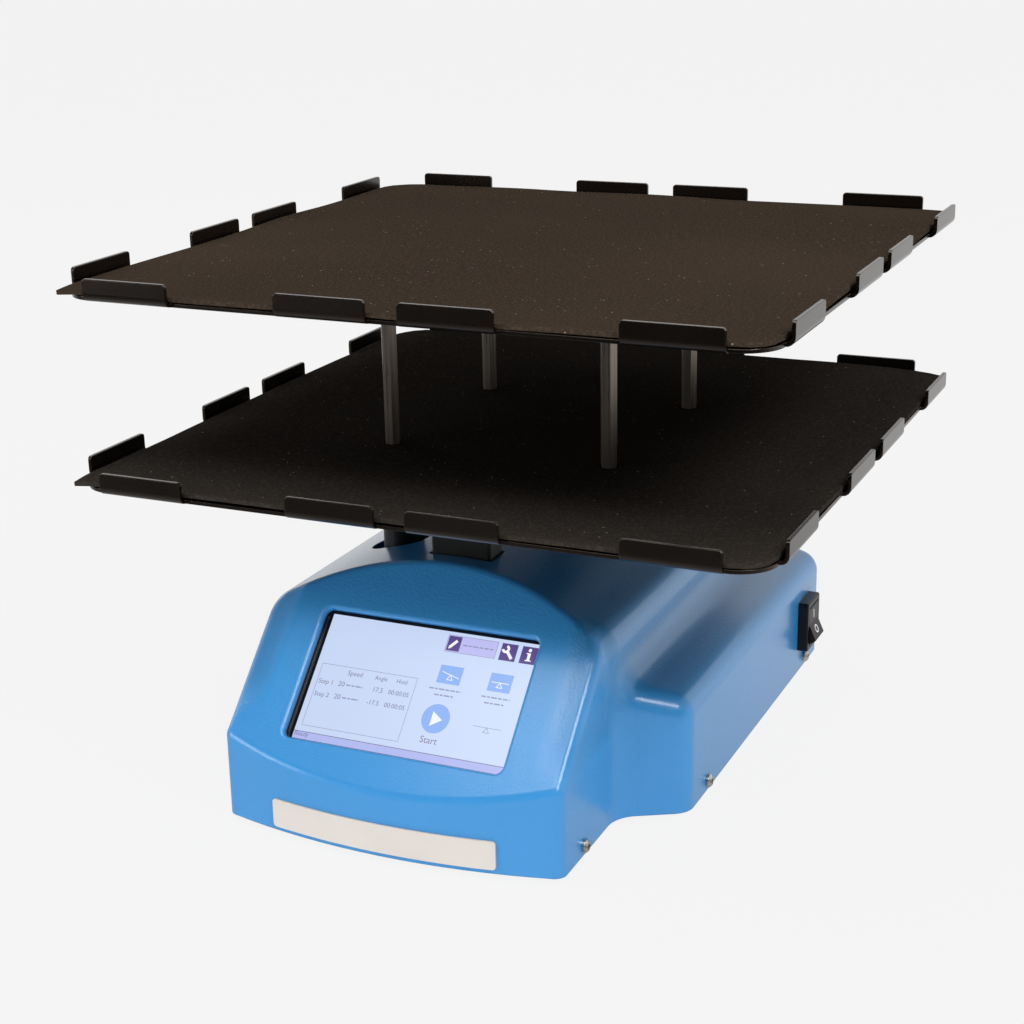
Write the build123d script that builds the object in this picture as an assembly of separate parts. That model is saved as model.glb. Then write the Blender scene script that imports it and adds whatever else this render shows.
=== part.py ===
from build123d import *

import math
import os

# A bench rocker shaker: two square tray decks, one above the other, that rock like a
# see-saw on a moulded base with a sloping touch display.
# Millimetres, Z up from the bench, X to the right, Y to the rear.
# The origin lies on the bench, under the middle of the whole outline.
# The rocking axis runs along Y, above the middle of the base.

# Decks
tray_size = 304.8
tray_sheet = 1.5
tray_corner_radius = 16.0
tab_height = 9.5
tab_length = 39.0
tab_middle_gap = 13.6
tab_corner_inset = 19.2
tab_bend_radius = 2.0
tab_corner_radius = 1.5
mat_thickness = 2.0
mat_edge_gap = 0.2
mat_round_corner_radius = 15.0
mat_square_corner_radius = 1.5
mat_hole_gap = 0.3
deck_rise = 19.0
standoff_length = 79.0
standoff_flats = 6.35
standoff_square = 101.6

# Cover
cover_wall = 3.0
crown_width = 150.0
crown_height = 101.7
crown_bow_radius = 155.0
crown_edge_radius = 12.0
bulge_width = 203.2
bulge_edge_height = 51.6
bulge_slope = 17.0
bulge_edge_radius = 10.0
bulge_front_reach = 91.6
bulge_front_angle = 29.0
front_reach = 172.0
front_bow_radius = 286.0
front_corner_radius = 5.0
front_band_height = 27.2
rear_reach = 105.0
rear_edge_radius = 8.0
face_slope = 45.0
face_edge_radius = 4.6
blend_radius = 14.0
cover_port_gap = 1.0
cover_port_radius = 1.5

# Base pan and feet
foot_height = 3.0
foot_diameter = 16.0
foot_edge_chamfer = 1.0
foot_inset = 16.0
pan_sheet = 1.5
pan_flange_height = 9.5
pan_gap = 0.4

# Nameplate
plate_width = 99.0
plate_height = 12.2
plate_thickness = 0.8
plate_rise = 1.9
plate_corner_radius = 1.5

# Display
screen_width = 97.0
screen_height = 57.7
screen_corner_radius = 3.5
screen_lip_radius = 1.4
screen_centre_height = 62.3
gasket_thickness = 0.5
gasket_width = 3.0
glass_thickness = 1.1
panel_thickness = 4.6
panel_border = 3.0
board_thickness = 1.6
display_board_border = 10.0
display_board_gap = 0.4
post_diameter = 6.0
post_inset = 4.0
backlight_width = 70.0
backlight_height = 40.0
chip_size = 14.0
chip_height = 1.5
plug_width = 8.0
plug_length = 26.0
plug_height = 6.0

# Fasteners
screw_shank = 3.0
screw_head = 5.8
screw_head_height = 2.2
screw_head_chamfer = 1.0
screw_slot_width = 0.8
screw_slot_length = 3.0
screw_slot_depth = 1.1
screw_hole_gap = 0.05
head_hole_gap = 0.3
deck_screw_length = 12.0
upper_screw_length = 10.0
cover_screw_length = 6.0
cover_screw_rise = 4.3
front_cover_screw_reach = 140.9
middle_cover_screw_reach = 68.5
rear_cover_screw_reach = 78.6

# Rocking mechanism
pivot_rise = 10.5
rock_limit = 20.0
block_width = 27.0
block_depth = 12.7
block_front_reach = 90.5
block_foot_height = 78.0
block_edge_chamfer = 1.0
block_screw_spacing = 19.0
block_screw_rise = 3.8
block_screw_grip = 10.0
pivot_pin_diameter = 8.0
bush_outer_diameter = 12.0
bush_length = 10.0
pin_end_gap = 0.5
running_gap = 0.05
lug_thickness = 5.0
lug_radius = 8.5
lug_side_gap = 0.8
cradle_thickness = 3.0
cradle_width = 122.0
cradle_length = 200.0
cradle_corner_radius = 10.0
cradle_window_width = 26.0
cradle_window_length = 54.0
cradle_window_radius = 5.0
cradle_window_x = 31.0
cradle_window_y = 35.0

# Drive
lever_arm = 38.1
rod_drop = 58.0
rod_diameter = 17.0
rod_reach = 68.2
rod_pin_diameter = 6.0
rod_side_gap = 0.3
rod_fork_gap = 2.0
rod_pin_recess = 1.0
tongue_thickness = 6.0
tongue_radius = 6.0
lever_thickness = 8.0
lever_end_radius = 7.0
open_pivot_gap = 0.15
slot_left_gap = 5.8
slot_side_gap = 1.5
gear_module = 1.0
sector_teeth = 72
sector_shown_teeth = 15
pinion_teeth = 14
tooth_addendum = 0.8
tooth_dedendum = 1.05
tooth_backlash = 0.12
pressure_angle = 20.0
sector_hub_diameter = 20.0
sector_hub_wall = 3.0
sector_rim_width = 7.0
sector_window_share = 0.62
shaft_diameter = 8.0
shaft_end_gap = 1.0
shaft_hole_gap = 1.0
bearing_outer_diameter = 16.0
bearing_width = 5.0
motor_size = 42.3
motor_length = 40.0
motor_edge_radius = 4.0
motor_boss_diameter = 22.0
motor_boss_height = 2.0
motor_boss_gap = 0.1
motor_screw_spacing = 31.0
motor_shaft_diameter = 5.0
motor_shaft_depth = 15.0
motor_shaft_end_gap = 1.0
motor_shaft_overhang = 2.0
motor_screw_grip = 4.0
motor_hole_depth = 6.0
motor_plate_thickness = 6.0
motor_plate_gap = 5.0
motor_plate_edge = 2.0
motor_plate_left = 14.0
motor_plate_foot_length = 16.0
motor_plate_foot_height = 5.0
plate_screw_inset = 7.0
frame_floor = 4.0
frame_width = 92.0
frame_screw_inset = 7.0
frame_screw_reach = 70.0
upright_thickness = 12.0
upright_width = 50.0
upright_rib_length = 15.0
upright_rib_height = 24.0
upright_rib_thickness = 5.0
upright_rib_x = 10.0

# Electronics
control_board_width = 84.0
control_board_length = 78.0
control_board_reach = 26.0
board_spacer_height = 8.0
board_spacer_diameter = 6.0
board_hole_inset = 4.0
capacitor_diameter = 10.0
capacitor_height = 14.0
capacitor_pitch = 14.0
capacitor_count = 3
capacitor_row = -12.0
heat_sink_size = 20.0
heat_sink_height = 9.0
heat_sink_x = 18.0
part_row = 12.0
terminal_length = 44.0
terminal_depth = 8.0
terminal_height = 10.0
terminal_row = 30.0
socket_length = 26.0
socket_x = 10.0

# Power switch and inlet
switch_width = 20.0
switch_height = 24.5
switch_bezel_depth = 5.0
switch_corner_radius = 1.6
switch_edge_radius = 0.8
switch_reach = 76.0
switch_centre_height = 26.4
switch_body_depth = 14.0
switch_body_margin = 1.2
switch_body_gap = 0.1
paddle_margin = 2.6
paddle_gap = 0.35
paddle_tilt = 12.0
paddle_land = 7.9
paddle_back = 3.0
paddle_pin_diameter = 2.4
paddle_pin_length = 1.0
paddle_pin_gap = 0.1
well_depth = 4.0
blade_width = 4.8
blade_thickness = 0.8
blade_length = 8.0
blade_height = 5.0
jack_flange_diameter = 14.0
jack_flange_thickness = 2.0
jack_thread_diameter = 11.0
jack_length = 14.0
jack_bore_diameter = 6.4
jack_bore_depth = 10.0
jack_pin_diameter = 2.0
jack_x = 62.0
jack_height = 26.0
jack_hole_gap = 0.1
jack_nut_flats = 14.0
jack_nut_thickness = 2.5
jack_pin_recess = 1.0

# Drawing aids
match_tolerance = 0.03
overrun = 30.0
flank_steps = 4

# Derived levels and places
platform_y = (front_reach + plate_thickness - tray_size / 2) / 2
base_front_y = platform_y - front_reach
cover_rear_y = platform_y + rear_reach
tray_half = tray_size / 2
plate_half = tray_half - tray_sheet - tab_bend_radius
pivot_height = crown_height + pivot_rise
lower_deck_height = pivot_height + deck_rise
upper_deck_height = lower_deck_height + tray_sheet + standoff_length
cradle_bottom = lower_deck_height - cradle_thickness
pan_top = foot_height + pan_sheet
frame_top = pan_top + frame_floor
sector_height = pivot_height - rod_drop
rod_y = platform_y - rod_reach
sector_radius = gear_module * sector_teeth / 2
pinion_radius = gear_module * pinion_teeth / 2
motor_x = sector_radius + pinion_radius
screw_hole_radius = screw_shank / 2 + screw_hole_gap
head_hole_radius = screw_head / 2 + head_hole_gap
block_centre_reach = block_front_reach - block_depth / 2
block_screw_seat = pivot_height + block_screw_rise
block_ys = [platform_y - block_centre_reach, platform_y + block_centre_reach]
frame_length = 2 * block_centre_reach + upright_thickness
bearing_rear_y = block_ys[0] + upright_thickness / 2
lever_front_y = rod_y - lever_thickness / 2
lever_rear_y = rod_y + lever_thickness / 2
plate_front_y = lever_rear_y + motor_plate_gap
plate_rear_y = plate_front_y + motor_plate_thickness
front_angle = math.radians(bulge_front_angle)
side_slope = math.radians(bulge_slope)
face_angle = math.radians(face_slope)
swing_angle = math.radians(rock_limit)
both_sides = (-1, 1)


# Helpers

def slab_z(sketch, low, high):
    """Extrude a plan sketch between two heights."""
    return extrude(Pos(0, 0, low) * sketch, amount=high - low)


def slab_y(sketch, front, rear):
    """Extrude a sketch drawn in X and Z between two Y places."""
    plane = Plane(origin=(0, rear, 0), x_dir=(1, 0, 0), z_dir=(0, -1, 0))
    return extrude(plane * sketch, amount=rear - front)


def slab_x(sketch, left, right):
    """Extrude a sketch drawn in Y and Z between two X places."""
    plane = Plane(origin=(left, 0, 0), x_dir=(0, 1, 0), z_dir=(1, 0, 0))
    return extrude(plane * sketch, amount=right - left)


def rod_z(radius, x, y, low, high):
    """An upright cylinder."""
    return slab_z(Pos(x, y) * Circle(radius), low, high)


def rod_along_y(radius, x, z, front, rear):
    """A cylinder that lies along Y."""
    return slab_y(Pos(x, z) * Circle(radius), front, rear)


def rod_along_x(radius, y, z, left, right):
    """A cylinder that lies along X."""
    return slab_x(Pos(y, z) * Circle(radius), left, right)


def outline(points):
    """A face inside a closed polygon, given in order."""
    return make_face(Polyline(*points, close=True))


def bowed_outline(half, bow_mid, bow_side, flat):
    """A face with one bowed side, two straight sides and one flat side."""
    bow = ThreePointArc((-half, bow_side), (0, bow_mid), (half, bow_side))
    sides = Polyline((half, bow_side), (half, flat), (-half, flat), (-half, bow_side))
    return make_face(bow + sides)


def edges_where(solid, test):
    """The edges whose middle point passes a test."""
    return [edge for edge in solid.edges() if test(edge @ 0.5)]


def near(value, target):
    """Whether two sizes agree within the drawing tolerance."""
    return abs(value - target) < match_tolerance


def corners_at(sketch, x, y):
    """The corners of a sketch at Y = y, on either side at X = x."""
    return [corner for corner in sketch.vertices() if near(abs(corner.X), x) and near(corner.Y, y)]


def four_corners(half_x, half_y):
    """The four corner places of a rectangle about the origin."""
    return [(sx * half_x, sy * half_y) for sx in both_sides for sy in both_sides]


def save(shape, node):
    """Write one node, made of one solid or of a list of solids."""
    if isinstance(shape, list):
        shape = Compound(children=shape)
    export_step(shape, "parts/" + node + ".step")


# Fasteners

def driver_cross(width, length, top, depth):
    """The crossed recess of a screw head, cut down from its top."""
    bar = slab_z(Rectangle(length, width), top - depth, top + depth)
    return bar + Rot(0, 0, 90) * bar


def plain_screw(length):
    """A round-head screw that points down, for hidden places; the head's seat is at Z = 0."""
    return rod_z(screw_head / 2, 0, 0, 0, screw_head_height) + rod_z(screw_shank / 2, 0, 0, -length, 0)


def pan_screw(length):
    """A screw like the plain one, with a bevelled head and a crossed recess."""
    screw = plain_screw(length)
    screw = chamfer(edges_where(screw, lambda p: near(p.Z, screw_head_height)), screw_head_chamfer)
    return screw - driver_cross(screw_slot_width, screw_slot_length, screw_head_height, screw_slot_depth)


def countersunk_screw(length):
    """A flat-head screw that points down, its head flush at Z = 0 in a tray's sheet."""
    cone = loft([Circle(screw_head / 2), Pos(0, 0, -tray_sheet) * Circle(screw_shank / 2)])
    return cone + rod_z(screw_shank / 2, 0, 0, -length, -tray_sheet)


# Decks

def tab_profile():
    """Section of a tab: foot, bend and upright wall, in offset from the tray's edge and height."""
    foot = -tray_sheet - tab_bend_radius
    bend_top = tray_sheet + tab_bend_radius
    outer_reach = (tab_bend_radius + tray_sheet) * math.sqrt(0.5)
    inner_reach = tab_bend_radius * math.sqrt(0.5)
    lines = Polyline((foot, tray_sheet), (foot, 0))
    lines += ThreePointArc((foot, 0), (foot + outer_reach, bend_top - outer_reach), (0, bend_top))
    lines += Polyline((0, bend_top), (0, tab_height), (-tray_sheet, tab_height), (-tray_sheet, bend_top))
    lines += ThreePointArc(
        (-tray_sheet, bend_top), (foot + inner_reach, bend_top - inner_reach), (foot, tray_sheet)
    )
    return make_face(lines)


def tab(centre):
    """One tab on the front edge, its middle at X = centre, with rounded top corners."""
    half = tab_length / 2
    folded = slab_x(mirror(tab_profile(), about=Plane.YZ), centre - half, centre + half)
    face = Pos(centre, 0) * RectangleRounded(tab_length, 2 * tab_height, tab_corner_radius)
    trimmed = folded & slab_y(face, -tab_height, tab_height)
    return Pos(0, -tray_half, 0) * trimmed


def tray(holes):
    """A square tray with four bent-up tabs on each side; its underside is at Z = 0."""
    plate = slab_z(RectangleRounded(2 * plate_half, 2 * plate_half, tray_corner_radius), 0, tray_sheet)
    middle_centre = (tab_middle_gap + tab_length) / 2
    corner_centre = tray_half - tab_corner_inset - tab_length / 2
    row = Part() + [tab(side * centre) for side in both_sides for centre in (middle_centre, corner_centre)]
    for turn in (0, 90, 180, 270):
        plate += Rot(0, 0, turn) * row
    return plate - slab_z(holes, -tray_sheet, 2 * tray_sheet)


def mat(holes):
    """A soft sheet between a tray's tabs, two of its corners cut round; its underside is at Z = 0."""
    half = plate_half - mat_edge_gap
    sheet = Rectangle(2 * half, 2 * half)
    sheet = fillet([corner for corner in sheet.vertices() if corner.X * corner.Y < 0], mat_round_corner_radius)
    for y in (-half, half):
        sheet = fillet(corners_at(sheet, half, y), mat_square_corner_radius)
    return slab_z(sheet - holes, 0, mat_thickness)


def at_standoffs(shape):
    """Copies of a sketch or solid at the four standoff places, about the deck's centre."""
    return [Pos(x, y) * shape for x, y in four_corners(standoff_square / 2, standoff_square / 2)]


def on_platform(shape, height):
    """Move a shape drawn about the deck's centre to its place and height."""
    return Pos(0, platform_y, height) * shape


def standoffs():
    """Four hexagonal pillars between the decks, tapped from end to end."""
    hexagon = RegularPolygon(standoff_flats / 2, 6, major_radius=False)
    pillar = slab_z(hexagon - Circle(screw_hole_radius), 0, standoff_length)
    return [on_platform(piece, lower_deck_height + tray_sheet) for piece in at_standoffs(pillar)]


def upper_tray():
    """The upper tray, countersunk for its four screws."""
    sheet = tray(Sketch() + at_standoffs(Circle(screw_hole_radius)))
    top = Pos(0, 0, tray_sheet) * Circle(screw_head / 2 + screw_hole_gap)
    for cone in at_standoffs(loft([top, Circle(screw_hole_radius)])):
        sheet -= cone
    return sheet


def upper_deck_screws():
    """Flush screws through the upper tray into the standoffs."""
    screw = countersunk_screw(upper_screw_length)
    return [on_platform(piece, upper_deck_height + tray_sheet) for piece in at_standoffs(screw)]


def lower_deck_screws():
    """Screws from below through the cradle and the lower tray into the standoffs."""
    screw = Rot(180, 0, 0) * plain_screw(deck_screw_length)
    return [on_platform(piece, cradle_bottom) for piece in at_standoffs(screw)]


# Cover

def front_wall_y(x, inset):
    """Y of the bowed front wall at X, moved inwards by inset."""
    radius = front_bow_radius - inset
    return base_front_y + front_bow_radius - math.sqrt(radius**2 - x**2)


def face_height(y, inset):
    """Height of the sloping display face at Y, moved inwards by inset."""
    rise = (y - base_front_y) * math.tan(face_angle)
    return foot_height + front_band_height + rise - inset / math.cos(face_angle)


def bulge_front_y(x, inset):
    """Y of the bulge's slanting front wall at X, moved inwards by inset."""
    wall = platform_y - bulge_front_reach + inset / math.cos(front_angle)
    return wall - (bulge_width / 2 - x) * math.tan(front_angle)


def bulge_top_height(x, inset):
    """Height of the bulge's sloping top at X, moved inwards by inset."""
    top = bulge_edge_height - inset / math.cos(side_slope)
    return top + (bulge_width / 2 - x) * math.tan(side_slope)


def crown_plan(inset, rear):
    """Plan of the central body: a bowed front with rounded corners, straight sides."""
    half = crown_width / 2 - inset
    side_front = front_wall_y(half, inset)
    plan = bowed_outline(half, front_wall_y(0, inset), side_front, rear)
    corners = [corner for corner in plan.vertices() if corner.Y < side_front + match_tolerance]
    return fillet(corners, max(front_corner_radius - inset, pan_sheet / 2))


def crown_section(inset, low):
    """Section across the central body: a gently arched top with round shoulders."""
    half = crown_width / 2 - inset
    bow = crown_bow_radius - inset
    crest = crown_height - inset
    side_top = crest - bow + math.sqrt(bow**2 - half**2)
    section = bowed_outline(half, crest, side_top, low)
    shoulders = [corner for corner in section.vertices() if corner.Y > side_top - match_tolerance]
    return fillet(shoulders, crown_edge_radius - inset)


def crown_solid(inset, low):
    """The central body with its sloping display face, drawn past the rear wall."""
    rear = cover_rear_y + overrun
    front = base_front_y - cover_wall
    over = crown_height + cover_wall
    face_foot = face_height(front, inset)
    over_y = front + (over - face_foot) / math.tan(face_angle)
    side = outline([(front, low), (rear, low), (rear, over), (over_y, over), (front, face_foot)])
    body = slab_z(crown_plan(inset, rear), low, over)
    body &= slab_y(crown_section(inset, low), front, rear)
    return body & slab_x(side, -crown_width, crown_width)


def soften_display_face(body):
    """Round every edge of the sloping display face."""
    flat_faces = body.faces().filter_by(GeomType.PLANE)
    face = flat_faces.filter_by(lambda one: near(one.normal_at().dot(face_plane.z_dir), 1))[0]
    return fillet(face.edges(), face_edge_radius)


def bulge_solid(inset, low):
    """The lower side bulge on the right, with a sloping top and rounded outer edges."""
    inner = crown_width / 4
    outer = bulge_width / 2 - inset
    rear = cover_rear_y + overrun
    fronts = [bulge_front_y(x, inset) for x in (outer, inner)]
    tops = [bulge_top_height(x, inset) for x in (outer, inner)]
    plan = outline([(inner, rear), (outer, rear), (outer, fronts[0]), (inner, fronts[1])])
    section = outline([(inner, low), (outer, low), (outer, tops[0]), (inner, tops[1])])
    body = slab_z(plan, low, crown_height) & slab_y(section, base_front_y, rear)
    rounded = edges_where(
        body,
        lambda p: p.X > inner + match_tolerance
        and p.Z > low + match_tolerance
        and p.Y < rear - match_tolerance,
    )
    return fillet(rounded, bulge_edge_radius - inset)


def blend_valleys(body, low):
    """Round the inner corners where the bulges meet the central body."""
    half = crown_width / 2
    front = bulge_front_y(half, 0)
    top = bulge_top_height(half, 0)
    rear = cover_rear_y + overrun
    valleys = edges_where(
        body,
        lambda p: near(abs(p.X), half)
        and low + match_tolerance < p.Z < top + match_tolerance
        and front - match_tolerance < p.Y < rear - match_tolerance,
    )
    return fillet(valleys, blend_radius)


def cover_shape(inset, low):
    """The cover's outer form, or with an inset the hollow inside it."""
    body = crown_solid(inset, low)
    if inset == 0:
        body = soften_display_face(body)
    bulge = bulge_solid(inset, low)
    body += bulge
    body += mirror(bulge, about=Plane.YZ)
    if inset == 0:
        body = blend_valleys(body, low)
    rear = cover_rear_y - inset
    keep = Rectangle(2 * bulge_width, 2 * bulge_width)
    body &= slab_y(keep, base_front_y - overrun, rear)
    rim = edges_where(body, lambda p: near(p.Y, rear) and p.Z > low + match_tolerance)
    return fillet(rim, rear_edge_radius - inset)


def plan_outline(inset):
    """The base's outline in plan, moved inwards by inset."""
    rear = cover_rear_y - inset
    half = crown_width / 2 - inset
    outer = bulge_width / 2 - inset
    wide = outline(
        [
            (-outer, rear),
            (outer, rear),
            (outer, bulge_front_y(outer, inset)),
            (half, bulge_front_y(half, inset)),
            (-half, bulge_front_y(half, inset)),
            (-outer, bulge_front_y(outer, inset)),
        ]
    )
    whole = crown_plan(inset, rear) + wide
    front = bulge_front_y(outer, inset)
    whole = fillet(corners_at(whole, outer, rear), rear_edge_radius - inset)
    return fillet(corners_at(whole, outer, front), bulge_edge_radius - inset)


face_centre_y = base_front_y + (screen_centre_height - foot_height - front_band_height) / math.tan(face_angle)
face_plane = Plane(
    origin=(0, face_centre_y, screen_centre_height),
    x_dir=(1, 0, 0),
    z_dir=(0, -math.sin(face_angle), math.cos(face_angle)),
)
panel_front = -cover_wall - gasket_thickness - glass_thickness
panel_back = panel_front - panel_thickness
display_board_front = panel_back - display_board_gap
display_board_back = display_board_front - board_thickness
display_board_width = screen_width + 2 * display_board_border
display_board_height = screen_height + 2 * display_board_border
post_places = four_corners(display_board_width / 2 - post_inset, display_board_height / 2 - post_inset)
cover_screw_height = foot_height + cover_screw_rise
cover_screw_places = [
    (crown_width / 2, platform_y - front_cover_screw_reach),
    (bulge_width / 2, platform_y - middle_cover_screw_reach),
    (bulge_width / 2, platform_y + rear_cover_screw_reach),
]
frame_screw_places = [
    (x, platform_y + y) for x, y in four_corners(frame_width / 2 - frame_screw_inset, frame_screw_reach)
]
switch_y = platform_y + switch_reach
switch_face_x = bulge_width / 2
switch_hole_width = switch_width - 2 * switch_body_margin
switch_hole_height = switch_height - 2 * switch_body_margin


def on_face(sketch, back, front):
    """Extrude a sketch on the display face between two depths, measured along its normal."""
    return extrude(face_plane * Pos(0, 0, back) * sketch, amount=front - back)


def on_window_lip(point):
    """Whether a point lies on the window's edge in the display face."""
    local = face_plane.to_local_coords(point)
    inside_x = abs(local.X) < screen_width / 2 + match_tolerance
    inside_y = abs(local.Y) < screen_height / 2 + match_tolerance
    return near(local.Z, 0) and inside_x and inside_y


def display_window():
    """Opening for the screen, through the sloping face."""
    window = RectangleRounded(screen_width, screen_height, screen_corner_radius)
    return on_face(window, -2 * cover_wall, cover_wall)


def rod_slot():
    """Plan of the slot that the push rod passes, longer to the left, with round ends."""
    left = -lever_arm - rod_diameter / 2 - slot_left_gap
    right = -lever_arm * math.cos(swing_angle) + rod_diameter / 2 + slot_side_gap
    return Pos((left + right) / 2, rod_y) * SlotOverall(right - left, rod_diameter + 2 * slot_side_gap)


def side_screw_holes():
    """Holes for the cover's screws, six rods that start at the cover's sides."""
    right = [
        rod_along_x(screw_hole_radius, y, cover_screw_height, x - cover_screw_length, x + cover_wall)
        for x, y in cover_screw_places
    ]
    return right + [mirror(hole, about=Plane.YZ) for hole in right]


def housing_cover():
    """The moulded shell, open below, with its display window, ports and screw posts."""
    shell = cover_shape(0, foot_height) - cover_shape(cover_wall, foot_height - cover_wall)
    shell -= display_window()
    shell = fillet(edges_where(shell, on_window_lip), screen_lip_radius)
    for x, y in post_places:
        shell += on_face(Pos(x, y) * Circle(post_diameter / 2), display_board_front, -cover_wall / 2)
    for x, y in post_places:
        shell -= on_face(Pos(x, y) * Circle(screw_hole_radius), display_board_front, -cover_wall)
    port_width = block_width + 2 * cover_port_gap
    port = RectangleRounded(port_width, block_depth + 2 * cover_port_gap, cover_port_radius)
    above = crown_height + cover_wall
    for y in block_ys:
        shell -= slab_z(Pos(0, y) * port, block_foot_height, above)
    shell -= slab_z(rod_slot(), block_foot_height, above)
    for hole in side_screw_holes():
        shell -= hole
    switch_hole = Pos(switch_y, switch_centre_height) * Rectangle(switch_hole_width, switch_hole_height)
    shell -= slab_x(switch_hole, switch_face_x - 2 * cover_wall, switch_face_x + cover_wall)
    jack_radius = jack_thread_diameter / 2 + jack_hole_gap
    through_front = cover_rear_y - 2 * cover_wall
    return shell - rod_along_y(jack_radius, jack_x, jack_height, through_front, cover_rear_y + cover_wall)


def base_pan():
    """Folded sheet floor with an upturned rim that takes the cover's screws."""
    rim_inset = cover_wall + pan_gap
    rim_top = pan_top + pan_flange_height
    pan = slab_z(plan_outline(rim_inset), foot_height, rim_top)
    pan -= slab_z(plan_outline(rim_inset + pan_sheet), pan_top, rim_top + pan_sheet)
    for hole in side_screw_holes():
        pan -= hole
    for x, y in frame_screw_places:
        pan -= rod_z(screw_hole_radius, x, y, 0, frame_top)
    return pan


def rubber_feet():
    """Four round feet under the pan."""
    front_x = crown_width / 2 - foot_inset
    rear_x = bulge_width / 2 - foot_inset
    front_y = front_wall_y(front_x, 0) + foot_inset
    rear_y = cover_rear_y - foot_inset
    foot = rod_z(foot_diameter / 2, 0, 0, 0, foot_height)
    foot = chamfer(edges_where(foot, lambda p: near(p.Z, 0)), foot_edge_chamfer)
    places = [(-front_x, front_y), (front_x, front_y), (-rear_x, rear_y), (rear_x, rear_y)]
    return [Pos(x, y, 0) * foot for x, y in places]


def cover_screws():
    """Pan-head screws through the cover's sides, three on each side."""
    screw = Rot(0, 90, 0) * pan_screw(cover_screw_length)
    right = [Pos(x, y, cover_screw_height) * screw for x, y in cover_screw_places]
    return right + [mirror(one, about=Plane.YZ) for one in right]


def nameplate():
    """A thin bare plate, bowed like the front band it lies on."""
    low = foot_height + plate_rise
    ring = Circle(front_bow_radius + plate_thickness) - Circle(front_bow_radius)
    bowed = slab_z(Pos(0, base_front_y + front_bow_radius) * ring, low, low + plate_height)
    face = Pos(0, low + plate_height / 2) * RectangleRounded(plate_width, plate_height, plate_corner_radius)
    return bowed & slab_y(face, base_front_y - overrun, base_front_y + overrun)


# Display

def display_gasket():
    """Foam frame between the cover and the touch glass."""
    width = screen_width + 2 * gasket_width
    height = screen_height + 2 * gasket_width
    outer = RectangleRounded(width, height, screen_corner_radius)
    inner = RectangleRounded(screen_width, screen_height, screen_corner_radius)
    return on_face(outer - inner, -cover_wall - gasket_thickness, -cover_wall)


def display_glass():
    """Touch glass behind the window."""
    sheet = Rectangle(screen_width + 2 * gasket_width, screen_height + 2 * gasket_width)
    return on_face(sheet, panel_front, panel_front + glass_thickness)


def display_panel():
    """Flat screen module behind the glass."""
    sheet = Rectangle(screen_width + 2 * panel_border, screen_height + 2 * panel_border)
    return on_face(sheet, panel_back, panel_front)


def display_board():
    """Circuit board that holds the panel and stands on the cover's posts."""
    sheet = Rectangle(display_board_width, display_board_height)
    for x, y in post_places:
        sheet -= Pos(x, y) * Circle(screw_hole_radius)
    board = on_face(sheet, display_board_back, display_board_front)
    board += on_face(Rectangle(backlight_width, backlight_height), display_board_front, panel_back)
    chip = Pos(0, -display_board_height / 4) * Rectangle(chip_size, chip_size)
    board += on_face(chip, display_board_back - chip_height, display_board_back)
    plug = Pos(-display_board_width / 4, 0) * Rectangle(plug_width, plug_length)
    return board + on_face(plug, display_board_back - plug_height, display_board_back)


def display_screws():
    """Screws through the display board into the cover's posts."""
    screw = Rot(180, 0, 0) * plain_screw(board_thickness + cover_wall)
    return [face_plane * Pos(x, y, display_board_back) * screw for x, y in post_places]


# Support frame and rocking pivots

def at_block(shape, index):
    """Place a piece drawn about the front block's centre at the front or, turned, at the rear."""
    return Pos(0, block_ys[index], 0) * Rot(0, 0, 180 * index) * shape


def upright_half_width(height):
    """Half the width of a tapered upright at a height."""
    share = (height - pan_top) / (block_foot_height - pan_top)
    return upright_width / 2 + share * (block_width - upright_width) / 2


def upright():
    """One upright of the frame, tapered towards its top, with two ribs behind it."""
    foot_half = upright_half_width(pan_top)
    top_half = upright_half_width(block_foot_height)
    taper = outline(
        [
            (-foot_half, pan_top),
            (foot_half, pan_top),
            (top_half, block_foot_height),
            (-top_half, block_foot_height),
        ]
    )
    body = slab_y(taper, -upright_thickness / 2, upright_thickness / 2)
    behind = upright_thickness / 2
    rib_end = behind + upright_rib_length
    rib = outline([(behind, frame_top), (rib_end, frame_top), (behind, frame_top + upright_rib_height)])
    for side in both_sides:
        middle = side * upright_rib_x
        body += slab_x(rib, middle - upright_rib_thickness / 2, middle + upright_rib_thickness / 2)
    for side in both_sides:
        x = side * block_screw_spacing / 2
        body -= rod_z(screw_hole_radius, x, 0, block_foot_height - 2 * block_screw_grip, block_foot_height)
    return body


def support_frame():
    """Floor plate with a front and a rear upright that carry the pivot blocks."""
    frame = slab_z(Pos(0, platform_y) * Rectangle(frame_width, frame_length), pan_top, frame_top)
    for index in (0, 1):
        frame += at_block(upright(), index)
    seat_front = bearing_rear_y - bearing_width
    frame -= rod_along_y(bearing_outer_diameter / 2, 0, sector_height, seat_front, bearing_rear_y)
    shaft_hole = shaft_diameter / 2 + shaft_hole_gap
    frame -= rod_along_y(shaft_hole, 0, sector_height, seat_front - upright_thickness, seat_front)
    for x, y in frame_screw_places:
        frame -= rod_z(screw_hole_radius, x, y, pan_top, frame_top)
    for x, y in plate_screw_places:
        frame -= rod_z(screw_hole_radius, x, y, pan_top, frame_top)
    for x, y in board_hole_places:
        frame -= rod_z(screw_hole_radius, x, y, pan_top, frame_top)
    return frame


def frame_screws():
    """Screws from below through the pan into the frame's floor."""
    screw = Rot(180, 0, 0) * plain_screw(pan_sheet + frame_floor)
    return [Pos(x, y, foot_height) * screw for x, y in frame_screw_places]


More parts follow.
